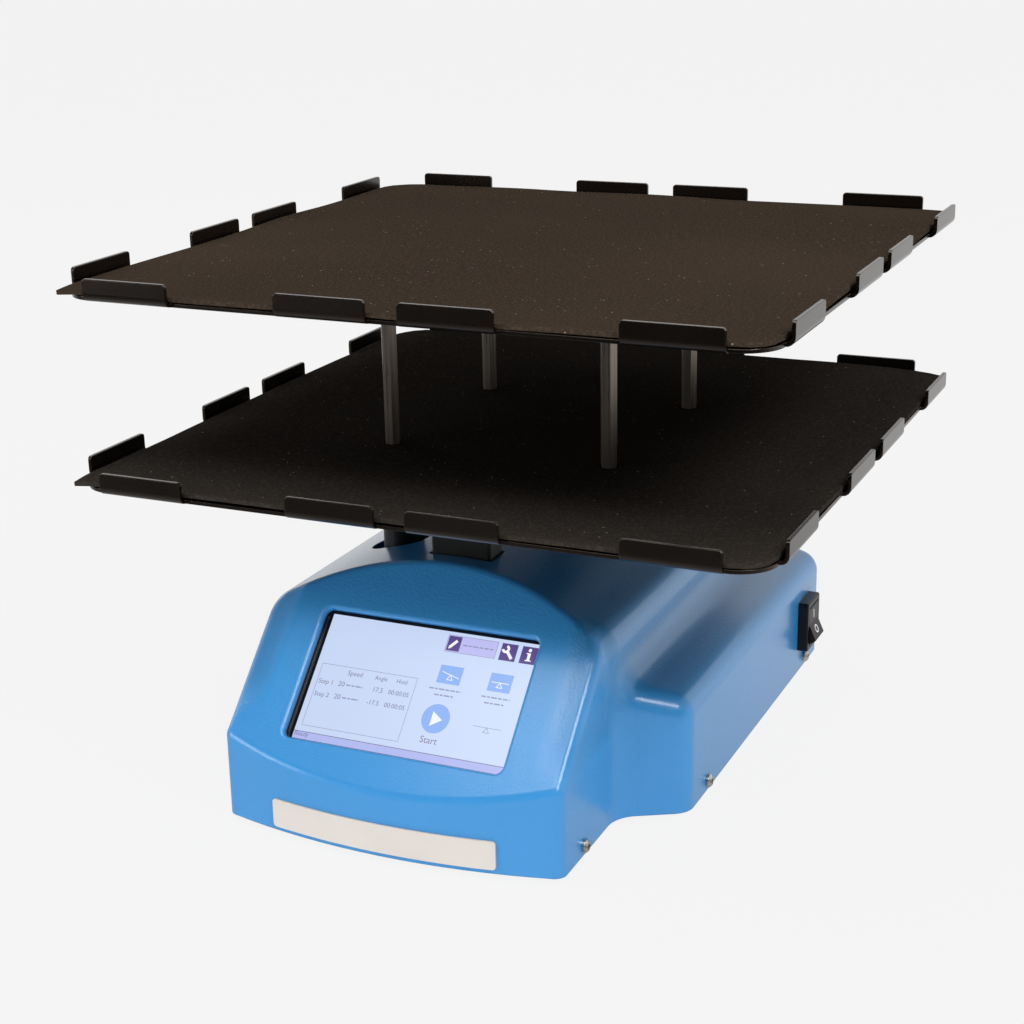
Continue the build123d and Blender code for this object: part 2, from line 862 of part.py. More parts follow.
def pivot_block():
    """Black block that rises through the cover and holds a pivot bush; drawn for the front."""
    middle = (block_foot_height + pivot_height) / 2
    side = Pos(0, middle) * Rectangle(block_width, pivot_height - block_foot_height)
    side += Pos(0, pivot_height) * Circle(block_width / 2)
    half = block_depth / 2
    block = slab_y(side, -half, half)
    rim = edges_where(block, lambda p: p.Z > block_foot_height + match_tolerance and near(abs(p.Y), half))
    block = chamfer(rim, block_edge_chamfer)
    block -= rod_along_y(bush_outer_diameter / 2, 0, pivot_height, half - bush_length, half)
    for side in both_sides:
        x = side * block_screw_spacing / 2
        block -= rod_z(screw_hole_radius, x, 0, block_foot_height, block_screw_seat)
        block -= rod_z(head_hole_radius, x, 0, block_screw_seat, pivot_height + block_width)
    return block


def block_screws():
    """Long screws down through the pivot blocks into the uprights."""
    screw = plain_screw(block_screw_seat - block_foot_height + block_screw_grip)
    return [
        at_block(Pos(side * block_screw_spacing / 2, 0, block_screw_seat) * screw, index)
        for side in both_sides
        for index in (0, 1)
    ]


def pivot_bush():
    """Plain bush pressed into a pivot block; drawn for the front."""
    ring = Circle(bush_outer_diameter / 2) - Circle(pivot_pin_diameter / 2 + running_gap)
    return slab_y(Pos(0, pivot_height) * ring, block_depth / 2 - bush_length, block_depth / 2)


def pivot_pin():
    """Pin that is held by the cradle's lug and turns in the bush; drawn for the front."""
    front = block_depth / 2 - bush_length + pin_end_gap
    rear = block_depth / 2 + lug_side_gap + lug_thickness
    return rod_along_y(pivot_pin_diameter / 2, 0, pivot_height, front, rear)


def lug(radius, thickness, hole_radius):
    """A hanging lug with a round end about the pivot height, centred on X = 0 and Y = 0."""
    side = Pos(0, (pivot_height + cradle_bottom) / 2) * Rectangle(2 * radius, cradle_bottom - pivot_height)
    side += Pos(0, pivot_height) * Circle(radius)
    side -= Pos(0, pivot_height) * Circle(hole_radius)
    return slab_y(side, -thickness / 2, thickness / 2)


def platform_cradle():
    """Plate under the lower tray, with two pivot lugs and the push rod's tongue."""
    plate = RectangleRounded(cradle_width, cradle_length, cradle_corner_radius)
    window = RectangleRounded(cradle_window_width, cradle_window_length, cradle_window_radius)
    for x, y in four_corners(cradle_window_x, cradle_window_y):
        plate -= Pos(x, y) * window
    for hole in at_standoffs(Circle(screw_hole_radius)):
        plate -= hole
    cradle = slab_z(Pos(0, platform_y) * plate, cradle_bottom, lower_deck_height)
    lug_y = block_depth / 2 + lug_side_gap + lug_thickness / 2
    pivot_lug = Pos(0, lug_y, 0) * lug(lug_radius, lug_thickness, pivot_pin_diameter / 2)
    for index in (0, 1):
        cradle += at_block(pivot_lug, index)
    tongue = lug(tongue_radius, tongue_thickness, rod_pin_diameter / 2 + running_gap)
    return cradle + Pos(-lever_arm, rod_y, 0) * tongue


# Drive

def push_rod():
    """Upright rod with a fork at each end: the cradle's tongue above, the lever below."""
    radius = rod_diameter / 2
    side = Pos(0, (sector_height + pivot_height) / 2) * Rectangle(rod_diameter, rod_drop)
    for height in (sector_height, pivot_height):
        side += Pos(0, height) * Circle(radius)
    rod = rod_z(radius, 0, 0, sector_height - radius, pivot_height + radius)
    rod &= slab_y(side, -radius, radius)
    upper_fork = Rectangle(2 * rod_diameter, tongue_thickness + 2 * rod_side_gap)
    rod -= slab_z(upper_fork, pivot_height - tongue_radius - rod_fork_gap, pivot_height + rod_diameter)
    lower_fork = Rectangle(2 * rod_diameter, lever_thickness + 2 * rod_side_gap)
    fork_top = sector_height + lever_end_radius + radius * math.tan(swing_angle) + rod_fork_gap
    rod -= slab_z(lower_fork, sector_height - rod_diameter, fork_top)
    for height in (sector_height, pivot_height):
        rod -= rod_along_y(rod_pin_diameter / 2, 0, height, -rod_diameter, rod_diameter)
    return Pos(-lever_arm, rod_y, 0) * rod


def rod_pins():
    """The pins through the push rod's two forks."""
    half = rod_diameter / 2 - rod_pin_recess
    return [
        rod_along_y(rod_pin_diameter / 2, -lever_arm, height, rod_y - half, rod_y + half)
        for height in (pivot_height, sector_height)
    ]


def involute(angle):
    """The involute function of an angle in radians."""
    return math.tan(angle) - angle


def tooth_flank(teeth):
    """Radius and half angle along one side of a tooth, from root to tip."""
    pitch = gear_module * teeth / 2
    pressure = math.radians(pressure_angle)
    base = pitch * math.cos(pressure)
    root = pitch - gear_module * tooth_dedendum
    tip = pitch + gear_module * tooth_addendum
    widest = math.pi / (2 * teeth) - tooth_backlash / (2 * pitch) + involute(pressure)
    start = max(base, root)
    flank = []
    if root < base:
        flank.append((root, widest))
    for step in range(flank_steps + 1):
        radius = start + (tip - start) * step / flank_steps
        local = math.acos(min(1, base / radius))
        flank.append((radius, widest - involute(local)))
    return flank


def polar(radius, angle):
    """A point at a radius and an angle in radians."""
    return (radius * math.cos(angle), radius * math.sin(angle))


def gear_points(teeth, tooth_numbers, turn):
    """Outline points of the given teeth, in order; turn is the first tooth's middle in degrees."""
    points = []
    for number in tooth_numbers:
        middle = math.radians(turn) + 2 * math.pi * number / teeth
        flank = tooth_flank(teeth)
        points += [polar(radius, middle - half) for radius, half in flank]
        points += [polar(radius, middle + half) for radius, half in reversed(flank)]
    return points


def sector_gear():
    """Lever and gear sector in one plate: the arm to the left, the teeth to the right."""
    half_count = sector_shown_teeth // 2
    spread = math.radians(360 / sector_teeth * (half_count + 1))
    root = sector_radius - gear_module * tooth_dedendum
    teeth = gear_points(sector_teeth, range(-half_count, half_count + 1), 0)
    side = outline([(0, 0), polar(root, -spread)] + teeth + [polar(root, spread)])
    ring = Circle(sector_radius - sector_rim_width) - Circle(sector_hub_diameter / 2 + sector_hub_wall)
    window_angle = spread * sector_window_share
    wedge = outline([(0, 0), polar(2 * sector_radius, -window_angle), polar(2 * sector_radius, window_angle)])
    side -= ring & wedge
    side += Circle(sector_hub_diameter / 2)
    side += Pos(-lever_arm / 2, 0) * Rectangle(lever_arm, 2 * lever_end_radius)
    side += Pos(-lever_arm, 0) * Circle(lever_end_radius)
    side -= Circle(shaft_diameter / 2)
    side -= Pos(-lever_arm, 0) * Circle(rod_pin_diameter / 2 + open_pivot_gap)
    return slab_y(Pos(0, sector_height) * side, lever_front_y, lever_rear_y)


def sector_shaft():
    """Shaft of the sector, in a bearing at each end."""
    front = bearing_rear_y - bearing_width - shaft_end_gap
    return rod_along_y(shaft_diameter / 2, 0, sector_height, front, plate_rear_y)


def sector_bearings():
    """Bearings in the front upright and in the motor plate."""
    ring = Circle(bearing_outer_diameter / 2) - Circle(shaft_diameter / 2 + running_gap)
    ring = Pos(0, sector_height) * ring
    return [slab_y(ring, rear - bearing_width, rear) for rear in (bearing_rear_y, plate_rear_y)]


motor_screw_half = motor_screw_spacing / 2
motor_screw_places = [
    (motor_x + x, sector_height + z) for x, z in four_corners(motor_screw_half, motor_screw_half)
]
plate_screw_y = plate_rear_y + motor_plate_foot_length / 2
plate_screw_places = [
    (plate_screw_inset - motor_plate_left, plate_screw_y),
    (frame_width / 2 - plate_screw_inset, plate_screw_y),
]


def motor_plate():
    """Plate that carries the motor and the sector's rear bearing, with a foot on the frame."""
    left = -motor_plate_left
    right = motor_x + motor_size / 2 + motor_plate_edge
    top = sector_height + motor_size / 2 + motor_plate_edge
    side = outline(
        [
            (left, frame_top),
            (right, frame_top),
            (right, top),
            (motor_x - motor_size / 2, top),
            (left, sector_height + bearing_outer_diameter),
        ]
    )
    side -= Pos(0, sector_height) * Circle(bearing_outer_diameter / 2)
    side -= Pos(motor_x, sector_height) * Circle(motor_boss_diameter / 2 + motor_boss_gap)
    for x, z in motor_screw_places:
        side -= Pos(x, z) * Circle(screw_hole_radius)
    plate = slab_y(side, plate_front_y, plate_rear_y)
    foot_length = motor_plate_foot_length
    foot_width = frame_width / 2 - left
    foot_middle = (frame_width / 2 + left) / 2
    foot = Pos(foot_middle, plate_rear_y + foot_length / 2) * Rectangle(foot_width, foot_length)
    for x, y in plate_screw_places:
        foot -= Pos(x, y) * Circle(screw_hole_radius)
    return plate + slab_z(foot, frame_top, frame_top + motor_plate_foot_height)


def plate_screws():
    """Screws through the motor plate's foot into the frame's floor."""
    screw = plain_screw(motor_plate_foot_height + frame_floor)
    return [Pos(x, y, frame_top + motor_plate_foot_height) * screw for x, y in plate_screw_places]


def drive_motor():
    """Square stepping motor with a front boss, bored for its shaft."""
    square = Pos(motor_x, sector_height) * RectangleRounded(motor_size, motor_size, motor_edge_radius)
    body = slab_y(square, plate_rear_y, plate_rear_y + motor_length)
    boss_front = plate_rear_y - motor_boss_height
    body += rod_along_y(motor_boss_diameter / 2, motor_x, sector_height, boss_front, plate_rear_y)
    bore_radius = motor_shaft_diameter / 2 + running_gap
    body -= rod_along_y(bore_radius, motor_x, sector_height, boss_front, plate_rear_y + motor_shaft_depth)
    for x, z in motor_screw_places:
        body -= rod_along_y(screw_hole_radius, x, z, plate_rear_y, plate_rear_y + motor_hole_depth)
    return body


def motor_screws():
    """Screws through the motor plate into the motor."""
    screw = Rot(90, 0, 0) * plain_screw(motor_plate_thickness + motor_screw_grip)
    return [Pos(x, plate_front_y, z) * screw for x, z in motor_screw_places]


def motor_shaft():
    """The motor's shaft, long enough for the pinion."""
    front = lever_front_y - motor_shaft_overhang
    rear = plate_rear_y + motor_shaft_depth - motor_shaft_end_gap
    return rod_along_y(motor_shaft_diameter / 2, motor_x, sector_height, front, rear)


def pinion_gear():
    """Pinion on the motor shaft, a gap between two teeth facing the sector."""
    side = outline(gear_points(pinion_teeth, range(pinion_teeth), 180 / pinion_teeth))
    side -= Circle(motor_shaft_diameter / 2)
    return slab_y(Pos(motor_x, sector_height) * side, lever_front_y, lever_rear_y)


# Electronics

board_y = platform_y + control_board_reach
board_bottom = frame_top + board_spacer_height
board_top = board_bottom + board_thickness
board_hole_x = control_board_width / 2 - board_hole_inset
board_hole_y = control_board_length / 2 - board_hole_inset
board_hole_places = [(x, board_y + y) for x, y in four_corners(board_hole_x, board_hole_y)]


def control_board():
    """The main circuit board, above the frame's floor."""
    sheet = Pos(0, board_y) * Rectangle(control_board_width, control_board_length)
    for x, y in board_hole_places:
        sheet -= Pos(x, y) * Circle(screw_hole_radius)
    return slab_z(sheet, board_bottom, board_top)


def board_block(x, y, width, length, height):
    """A box on the control board, placed from the board's middle."""
    return slab_z(Pos(x, board_y + y) * Rectangle(width, length), board_top, board_top + height)


def board_components():
    """The larger parts on the control board."""
    capacitors = [
        rod_z(
            capacitor_diameter / 2,
            (number - capacitor_count + 1) * capacitor_pitch,
            board_y + capacitor_row,
            board_top,
            board_top + capacitor_height,
        )
        for number in range(capacitor_count)
    ]
    return capacitors + [
        board_block(-heat_sink_x, part_row, heat_sink_size, heat_sink_size, heat_sink_height),
        board_block(heat_sink_x, part_row, chip_size, chip_size, chip_height),
        board_block(0, -terminal_row, terminal_length, terminal_depth, terminal_height),
        board_block(socket_x, terminal_row, socket_length, terminal_depth, terminal_height),
    ]


def board_spacers():
    """Tubes that hold the control board above the frame."""
    ring = Circle(board_spacer_diameter / 2) - Circle(screw_hole_radius)
    return [slab_z(Pos(x, y) * ring, frame_top, board_bottom) for x, y in board_hole_places]


def board_screws():
    """Screws through the control board and its spacers into the frame's floor."""
    screw = plain_screw(board_thickness + board_spacer_height + frame_floor)
    return [Pos(x, y, board_top) * screw for x, y in board_hole_places]


# Power switch and inlet

well_width = switch_width - 2 * paddle_margin
well_height = switch_height - 2 * paddle_margin
paddle_radius = well_height / 2 - paddle_gap
paddle_half_width = well_width / 2 - paddle_gap
paddle_corner = math.sqrt(paddle_radius**2 - paddle_land**2)
tilt_angle = math.radians(paddle_tilt)
pressed_corner = paddle_corner * math.cos(tilt_angle) - paddle_land * math.sin(tilt_angle)
switch_pivot_x = switch_face_x + switch_bezel_depth - pressed_corner


def at_switch(sketch):
    """Move a sketch drawn about the switch's centre to its place on the cover's side."""
    return Pos(switch_y, switch_centre_height) * sketch


def power_switch_rocker():
    """Rocker of the switch, its upper half pressed in, with a stub pin at each side."""
    valley = paddle_corner - paddle_land * math.tan(tilt_angle)
    lands = outline(
        [
            (-paddle_back, -paddle_radius),
            (paddle_corner, -paddle_radius),
            (paddle_corner, -paddle_land),
            (valley, 0),
            (paddle_corner, paddle_land),
            (paddle_corner, paddle_radius),
            (-paddle_back, paddle_radius),
        ]
    )
    paddle = slab_y(Circle(paddle_radius) & lands, -paddle_half_width, paddle_half_width)
    pin_end = paddle_half_width + paddle_pin_length
    paddle += rod_along_y(paddle_pin_diameter / 2, 0, 0, -pin_end, pin_end)
    return Pos(switch_pivot_x, switch_y, switch_centre_height) * Rot(0, -paddle_tilt, 0) * paddle


def power_switch_body():
    """Bezel outside the cover's side, body and terminal blades inside it, with the rocker's well."""
    front = switch_face_x + switch_bezel_depth
    bezel = slab_x(
        at_switch(RectangleRounded(switch_width, switch_height, switch_corner_radius)), switch_face_x, front
    )
    bezel = fillet(edges_where(bezel, lambda p: near(p.X, front)), switch_edge_radius)
    block = Rectangle(switch_hole_width - 2 * switch_body_gap, switch_hole_height - 2 * switch_body_gap)
    back = switch_face_x - switch_body_depth
    body = bezel + slab_x(at_switch(block), back, switch_face_x)
    for side in both_sides:
        blade = Pos(0, side * blade_height) * Rectangle(blade_width, blade_thickness)
        body += slab_x(at_switch(blade), back - blade_length, back)
    body -= slab_x(at_switch(Rectangle(well_width, well_height)), switch_face_x - well_depth, front)
    hole_end = paddle_half_width + paddle_pin_length + paddle_pin_gap
    hole_radius = paddle_pin_diameter / 2 + running_gap
    hole = slab_y(Circle(hole_radius), -hole_end, hole_end)
    return body - Pos(switch_pivot_x, switch_y, switch_centre_height) * hole


def jack_rod(diameter, front, rear):
    """A cylinder on the inlet's axis; both ends are measured from the cover's rear wall."""
    return rod_along_y(diameter / 2, jack_x, jack_height, cover_rear_y + front, cover_rear_y + rear)


def power_jack():
    """Low-voltage inlet in the rear wall, with its centre pin."""
    mouth = jack_flange_thickness
    body = jack_rod(jack_flange_diameter, 0, mouth) + jack_rod(jack_thread_diameter, mouth - jack_length, 0)
    body -= jack_rod(jack_bore_diameter, mouth - jack_bore_depth, mouth)
    return body + jack_rod(jack_pin_diameter, mouth - jack_bore_depth, mouth - jack_pin_recess)


def jack_nut():
    """Nut that holds the inlet from inside."""
    rear = cover_rear_y - cover_wall
    hexagon = RegularPolygon(jack_nut_flats / 2, 6, major_radius=False)
    ring = Pos(jack_x, jack_height) * (hexagon - Circle(jack_thread_diameter / 2))
    return slab_y(ring, rear - jack_nut_thickness, rear)


os.makedirs("parts", exist_ok=True)

tray_holes = Sketch() + at_standoffs(Circle(screw_hole_radius))
mat_hole_radius = standoff_flats / math.sqrt(3) + mat_hole_gap
mat_holes = Sketch() + at_standoffs(Circle(mat_hole_radius))
save(on_platform(tray(tray_holes), lower_deck_height), "lower_tray")
save(on_platform(mat(mat_holes), lower_deck_height + tray_sheet), "lower_mat")
save(on_platform(upper_tray(), upper_deck_height), "upper_tray")
save(on_platform(mat(Sketch()), upper_deck_height + tray_sheet), "upper_mat")
save(standoffs(), "deck_standoffs")
save(upper_deck_screws(), "upper_deck_screws")
save(lower_deck_screws(), "lower_deck_screws")

save(housing_cover(), "housing_cover")
save(base_pan(), "base_pan")
save(rubber_feet(), "rubber_feet")
save(cover_screws(), "cover_screws")
save(nameplate(), "nameplate")
save(display_gasket(), "display_gasket")
save(display_glass(), "display_glass")
save(display_panel(), "display_panel")
save(display_board(), "display_board")
save(display_screws(), "display_screws")

save(support_frame(), "support_frame")
save(frame_screws(), "frame_screws")
save(at_block(pivot_block(), 0), "front_pivot_block")
save(at_block(pivot_block(), 1), "rear_pivot_block")
save(block_screws(), "block_screws")
save([at_block(pivot_bush(), index) for index in (0, 1)], "pivot_bushes")
save([at_block(pivot_pin(), index) for index in (0, 1)], "pivot_pins")
save(platform_cradle(), "platform_cradle")

save(push_rod(), "push_rod")
save(rod_pins(), "rod_pins")
save(sector_gear(), "sector_gear")
save(sector_shaft(), "sector_shaft")
save(sector_bearings(), "sector_bearings")
save(motor_plate(), "motor_plate")
save(plate_screws(), "plate_screws")
save(drive_motor(), "drive_motor")
save(motor_screws(), "motor_screws")
save(motor_shaft(), "motor_shaft")
save(pinion_gear(), "pinion_gear")

save(control_board(), "control_board")
save(board_components(), "board_components")
save(board_spacers(), "board_spacers")
save(board_screws(), "board_screws")
save(power_switch_body(), "power_switch_body")
save(power_switch_rocker(), "power_switch_rocker")
save(power_jack(), "power_jack")
save(jack_nut(), "jack_nut")
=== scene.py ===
"""Looks for a bench rocker shaker: two mat-lined decks on a moulded base with a sloping display."""

import math

import bmesh
import bpy
from mathutils import Matrix, Vector, noise


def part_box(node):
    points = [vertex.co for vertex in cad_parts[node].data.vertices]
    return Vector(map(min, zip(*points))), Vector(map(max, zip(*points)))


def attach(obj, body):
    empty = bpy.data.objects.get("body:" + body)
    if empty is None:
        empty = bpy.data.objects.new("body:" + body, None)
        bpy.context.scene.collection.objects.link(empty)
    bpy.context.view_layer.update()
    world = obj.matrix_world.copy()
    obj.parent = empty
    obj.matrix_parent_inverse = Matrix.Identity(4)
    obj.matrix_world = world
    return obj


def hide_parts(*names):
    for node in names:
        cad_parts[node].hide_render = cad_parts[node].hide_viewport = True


bl_info = {
    "name": "Rocker Shaker Looks",
    "version": (1, 0, 0),
    "blender": (4, 5, 0),
    "location": "View3D > Sidebar > Rocker Shaker",
    "description": "Dresses a packed rocker shaker with mats, screen picture, marks and finishes",
    "category": "Object",
}

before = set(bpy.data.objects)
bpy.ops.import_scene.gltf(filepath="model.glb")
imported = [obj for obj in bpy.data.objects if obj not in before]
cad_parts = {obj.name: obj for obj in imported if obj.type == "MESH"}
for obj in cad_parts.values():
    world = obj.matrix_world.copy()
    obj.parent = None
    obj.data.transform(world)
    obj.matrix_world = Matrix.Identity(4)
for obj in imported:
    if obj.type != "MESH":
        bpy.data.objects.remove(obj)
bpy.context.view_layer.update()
MM = 0.001


# Shader maths

class Wire:
    """A node socket that grows Math nodes when it is used in an expression."""

    def __init__(self, maths, socket):
        self.maths = maths
        self.socket = socket

    def _join(self, operation, first, second):
        return self.maths.node("ShaderNodeMath", {"operation": operation}, {0: first, 1: second})

    def __add__(self, other):
        return self._join("ADD", self, other)

    def __radd__(self, other):
        return self._join("ADD", other, self)

    def __sub__(self, other):
        return self._join("SUBTRACT", self, other)

    def __rsub__(self, other):
        return self._join("SUBTRACT", other, self)

    def __mul__(self, other):
        return self._join("MULTIPLY", self, other)

    def __rmul__(self, other):
        return self._join("MULTIPLY", other, self)

    def above(self, edge):
        """One where the value is over an edge, else nought."""
        return self._join("GREATER_THAN", self, edge)

    def at_most(self, limit):
        """The value, held under a limit."""
        return self._join("MINIMUM", self, limit)

    def ramp(self, low, high):
        """Nought at low, one at high, smooth between."""
        settings = {"interpolation_type": "SMOOTHSTEP"}
        inputs = {"Value": self, "From Min": low, "From Max": high}
        return self.maths.node("ShaderNodeMapRange", settings, inputs)


class Maths:
    """A node tree, emptied first, that is filled by one method."""

    def __init__(self, tree):
        self.tree = tree
        tree.nodes.clear()

    def connect(self, socket, value):
        """Link a wire to a socket, or set a plain value on it."""
        if isinstance(value, Wire):
            self.tree.links.new(value.socket, socket)
        elif socket.type == "RGBA" and len(value) == 3:
            socket.default_value = (*value, 1)
        else:
            socket.default_value = value

    def node(self, kind, settings=None, inputs=None, output=0):
        """Add a node: settings first, then the values or links of its sockets."""
        node = self.tree.nodes.new(kind)
        for key, value in (settings or {}).items():
            setattr(node, key, value)
        for key, value in (inputs or {}).items():
            self.connect(node.inputs[key], value)
        return Wire(self, node.outputs[output]) if node.outputs else None

    def axis(self, vector, letter):
        """One axis of a vector."""
        return self.node("ShaderNodeSeparateXYZ", inputs={"Vector": vector}, output=letter)

    def ray(self, kind):
        """One for rays of a kind, else nought."""
        return self.node("ShaderNodeLightPath", output=f"Is {kind} Ray")

    def either(self, factor, first, second):
        """Mix two shaders."""
        return self.node("ShaderNodeMixShader", inputs={0: factor, 1: first, 2: second})


EDGE_SAMPLES = 6


class Finish(Maths):
    """A material with one Principled shader, built by expressions."""

    def __init__(self, name):
        self.material = bpy.data.materials.new(name)
        self.material.use_nodes = True
        super().__init__(self.material.node_tree)
        self.shader = self.tree.nodes.new("ShaderNodeBsdfPrincipled")
        self.output = self.tree.nodes.new("ShaderNodeOutputMaterial")
        self.tree.links.new(self.shader.outputs[0], self.output.inputs["Surface"])
        self.place = self.node("ShaderNodeTexCoord", output="Object")

    def blend(self, factor, first, second):
        """Mix two colours."""
        inputs = {0: factor, 6: first, 7: second}
        return self.node("ShaderNodeMix", {"data_type": "RGBA"}, inputs, 2)

    def stretch(self, scale, turn=0):
        """Object coordinates, turned about Z and scaled."""
        inputs = {"Vector": self.place, "Scale": scale, "Rotation": (0, 0, turn)}
        return self.node("ShaderNodeMapping", inputs=inputs)

    def noise(self, scale, detail=2, vector=None):
        """Cloudy noise between nought and one."""
        inputs = {"Vector": vector or self.place, "Scale": scale, "Detail": detail}
        return self.node("ShaderNodeTexNoise", inputs=inputs)

    def cells(self, scale, feature="F1"):
        """Distance to scattered points."""
        inputs = {"Vector": self.place, "Scale": scale}
        return self.node("ShaderNodeTexVoronoi", {"feature": feature}, inputs)

    def bump(self, height, strength, distance, normal=None):
        """A normal bent by a height."""
        inputs = {"Height": height, "Strength": strength, "Distance": distance}
        if normal is not None:
            inputs["Normal"] = normal
        return self.node("ShaderNodeBump", inputs=inputs)

    def rounded(self, radius):
        """A normal that softens sharp edges."""
        return self.node("ShaderNodeBevel", {"samples": EDGE_SAMPLES}, {"Radius": radius})

    def set(self, **sockets):
        """Set the shader's sockets, named with underscores for spaces."""
        for key, value in sockets.items():
            self.connect(self.shader.inputs[key.replace("_", " ")], value)
        return self.material


def toned(colour, share, lift=0):
    """A colour made darker or lighter."""
    return tuple(min(1, part * share + lift) for part in colour)


# Settings

def size_property(name, description, default):
    """A length in metres."""
    return bpy.props.FloatProperty(
        name=name, description=description, default=default, unit="LENGTH", precision=4
    )


def colour_property(name, description, default):
    """A linear colour."""
    return bpy.props.FloatVectorProperty(
        name=name, description=description, default=default, subtype="COLOR", size=3, min=0, max=1
    )


class ShakerSizes(bpy.types.PropertyGroup):
    """Sizes of what is laid over the solids."""

    mat_droop: size_property("Mat droop", "How far the mat's overhanging corners hang", 0.0002)
    mat_wave: size_property("Mat wave", "Height of the mat's slow waves", 0.0005)
    mat_curl: size_property("Mat curl", "How far the mat's free edges curl up", 0.0009)
    mat_rear_rise: size_property(
        "Mat rear rise", "How far the lower mat's rear edge lifts", 0.0020
    )
    mat_cell: size_property("Mat cell", "Size of the mat's faces", 0.006)
    mat_bevel: size_property("Mat bevel", "Width of the bevel on the mat's cut edges", 0.0003)
    picture_left: size_property(
        "Picture left", "Left edge of the lit picture from the glass's middle", -0.0456
    )
    picture_right: size_property("Picture right", "Right edge of the lit picture", 0.0490)
    picture_low: size_property("Picture low", "Lower edge of the lit picture", -0.0280)
    picture_high: size_property("Picture high", "Upper edge of the lit picture", 0.0275)
    line_width: size_property("Line width", "Width of the screen's thin lines", 0.0003)
    mark_size: size_property("Mark size", "Height of the switch's marks", 0.0042)
    mark_stroke: size_property("Mark stroke", "Stroke of the switch's marks", 0.0008)


class ShakerColours(bpy.types.PropertyGroup):
    """Colours of the finishes."""

    housing: colour_property("Housing", "Moulded cover", (0.037, 0.258, 0.590))
    mat: colour_property("Mat", "Rubber mat", (0.0400, 0.0290, 0.0212))
    paint: colour_property("Paint", "Satin black of the trays", (0.0017, 0.0013, 0.0010))
    standoff: colour_property("Standoff", "Dark steel of the standoffs", (0.320, 0.275, 0.235))
    steel: colour_property("Steel", "Plated screws", (0.55, 0.53, 0.50))
    plate: colour_property("Nameplate", "Bare nameplate", (0.61, 0.572, 0.525))
    picture: colour_property("Picture", "Lit ground of the screen", (0.560, 0.665, 0.900))
    status: colour_property("Status bar", "Bar at the screen's foot", (0.420, 0.470, 0.850))
    button: colour_property("Button", "Pale button of the screen", (0.500, 0.500, 0.880))
    tile: colour_property("Tile", "Dark tiles of the screen", (0.085, 0.050, 0.240))
    accent: colour_property("Accent", "Light blue symbols of the screen", (0.240, 0.420, 0.880))
    small_print: colour_property(
        "Small print", "Rows of dashes that stand for small print", (0.270, 0.300, 0.480)
    )
    ink: colour_property("Ink", "Words and lines of the screen", (0.180, 0.165, 0.290))
    white: colour_property("White", "Signs of the screen and the switch", (0.860, 0.880, 0.940))
    backdrop: colour_property("Backdrop", "Floor and background", (0.885, 0.885, 0.885))


def sizes():
    """The sizes now set in the scene."""
    return bpy.context.scene.shaker_sizes


def colours():
    """The colours now set in the scene."""
    return bpy.context.scene.shaker_colours


# Mesh helpers

def link(name, mesh, body, material):
    """Put a finished mesh in the scene on its body."""
    piece = bpy.data.objects.new(name, mesh)
    bpy.context.scene.collection.objects.link(piece)
    mesh.materials.clear()
    mesh.materials.append(material)
    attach(piece, body)
    return piece


def dress(names, material):
    """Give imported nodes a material."""
    for name in names:
        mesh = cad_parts[name].data
        mesh.materials.clear()
        mesh.materials.append(material)


def applied(piece, name):
    """The mesh of an object with its modifiers applied; the object goes."""
    graph = bpy.context.evaluated_depsgraph_get()
    mesh = bpy.data.meshes.new_from_object(piece.evaluated_get(graph))
    mesh.name = name
    data = piece.data
    bpy.data.objects.remove(piece)
    if isinstance(data, bpy.types.Mesh):
        bpy.data.meshes.remove(data)
    return mesh


# Finishes

def satin_black(name, colour, roughness):
    """Sprayed satin black with a fine orange peel and slight wear."""
    finish = Finish(name)
    cloud = finish.noise(scale=9, detail=3)
    peel = finish.noise(scale=1400)
    return finish.set(
        Base_Color=finish.blend(cloud.ramp(0.35, 0.75), tuple(colour), toned(colour, 2.2, 0.0004)),
        Roughness=roughness + (cloud - 0.5) * 0.12,
        Normal=finish.bump(peel, 0.12, 0.2 * MM, finish.rounded(0.6 * MM)),
        Specular_IOR_Level=0.75,
        Specular_Tint=(1.0, 0.81, 0.68),
    )


LINT = (0.36, 0.32, 0.26)
WEAVE = {"Scale": 260, "Distortion": 1.5, "Detail": 2}
WEAVE_TURN = math.radians(45)


def mat_rubber(name, share):
    """Brown-black rubber with a fine diagonal weave and pale lint."""
    finish = Finish(name)
    # The rubber's colour is scaled by a share for each mat; for the lower mat that share is painted
    # shade.
    colour = tuple(c * part for c, part in zip(colours().mat, share))
    cloud = finish.noise(scale=6, detail=4)
    turned = finish.stretch((1, 1, 1), WEAVE_TURN)
    thread, cross = (
        finish.node(
            "ShaderNodeTexWave",
            {"wave_type": "BANDS", "bands_direction": direction},
            {"Vector": turned, **WEAVE},
        )
        for direction in ("X", "Y")
    )
    grain = finish.noise(scale=900, detail=3)
    specks = 1 - finish.cells(scale=240).ramp(0.06, 0.11)
    lint = specks * finish.noise(scale=70, detail=1).above(0.55)
    tone = finish.blend(cloud.ramp(0.3, 0.8), toned(colour, 0.88), toned(colour, 1.18))
    tone = finish.blend(grain.ramp(0.42, 0.72) * 0.55, tone, toned(colour, 2.1))
    return finish.set(
        Base_Color=finish.blend(lint * 0.62, tone, LINT),
        Roughness=0.86 + (cloud - 0.5) * 0.1,
        Normal=finish.bump(thread * 0.35 + cross * 0.35 + grain * 0.5, 0.35, 0.3 * MM),
        Specular_IOR_Level=0.0,
    )


# Where the cover's display face is shaded as if it fell away, so that its side edges look softer
NOSE_FLAT, NOSE_EDGE = 60 * MM, 78 * MM
NOSE_FRONT, NOSE_BACK = -108 * MM, -92 * MM
NOSE_FALL = 9 * MM
BAND_TOP, FACE_FOOT = 40 * MM, 62 * MM


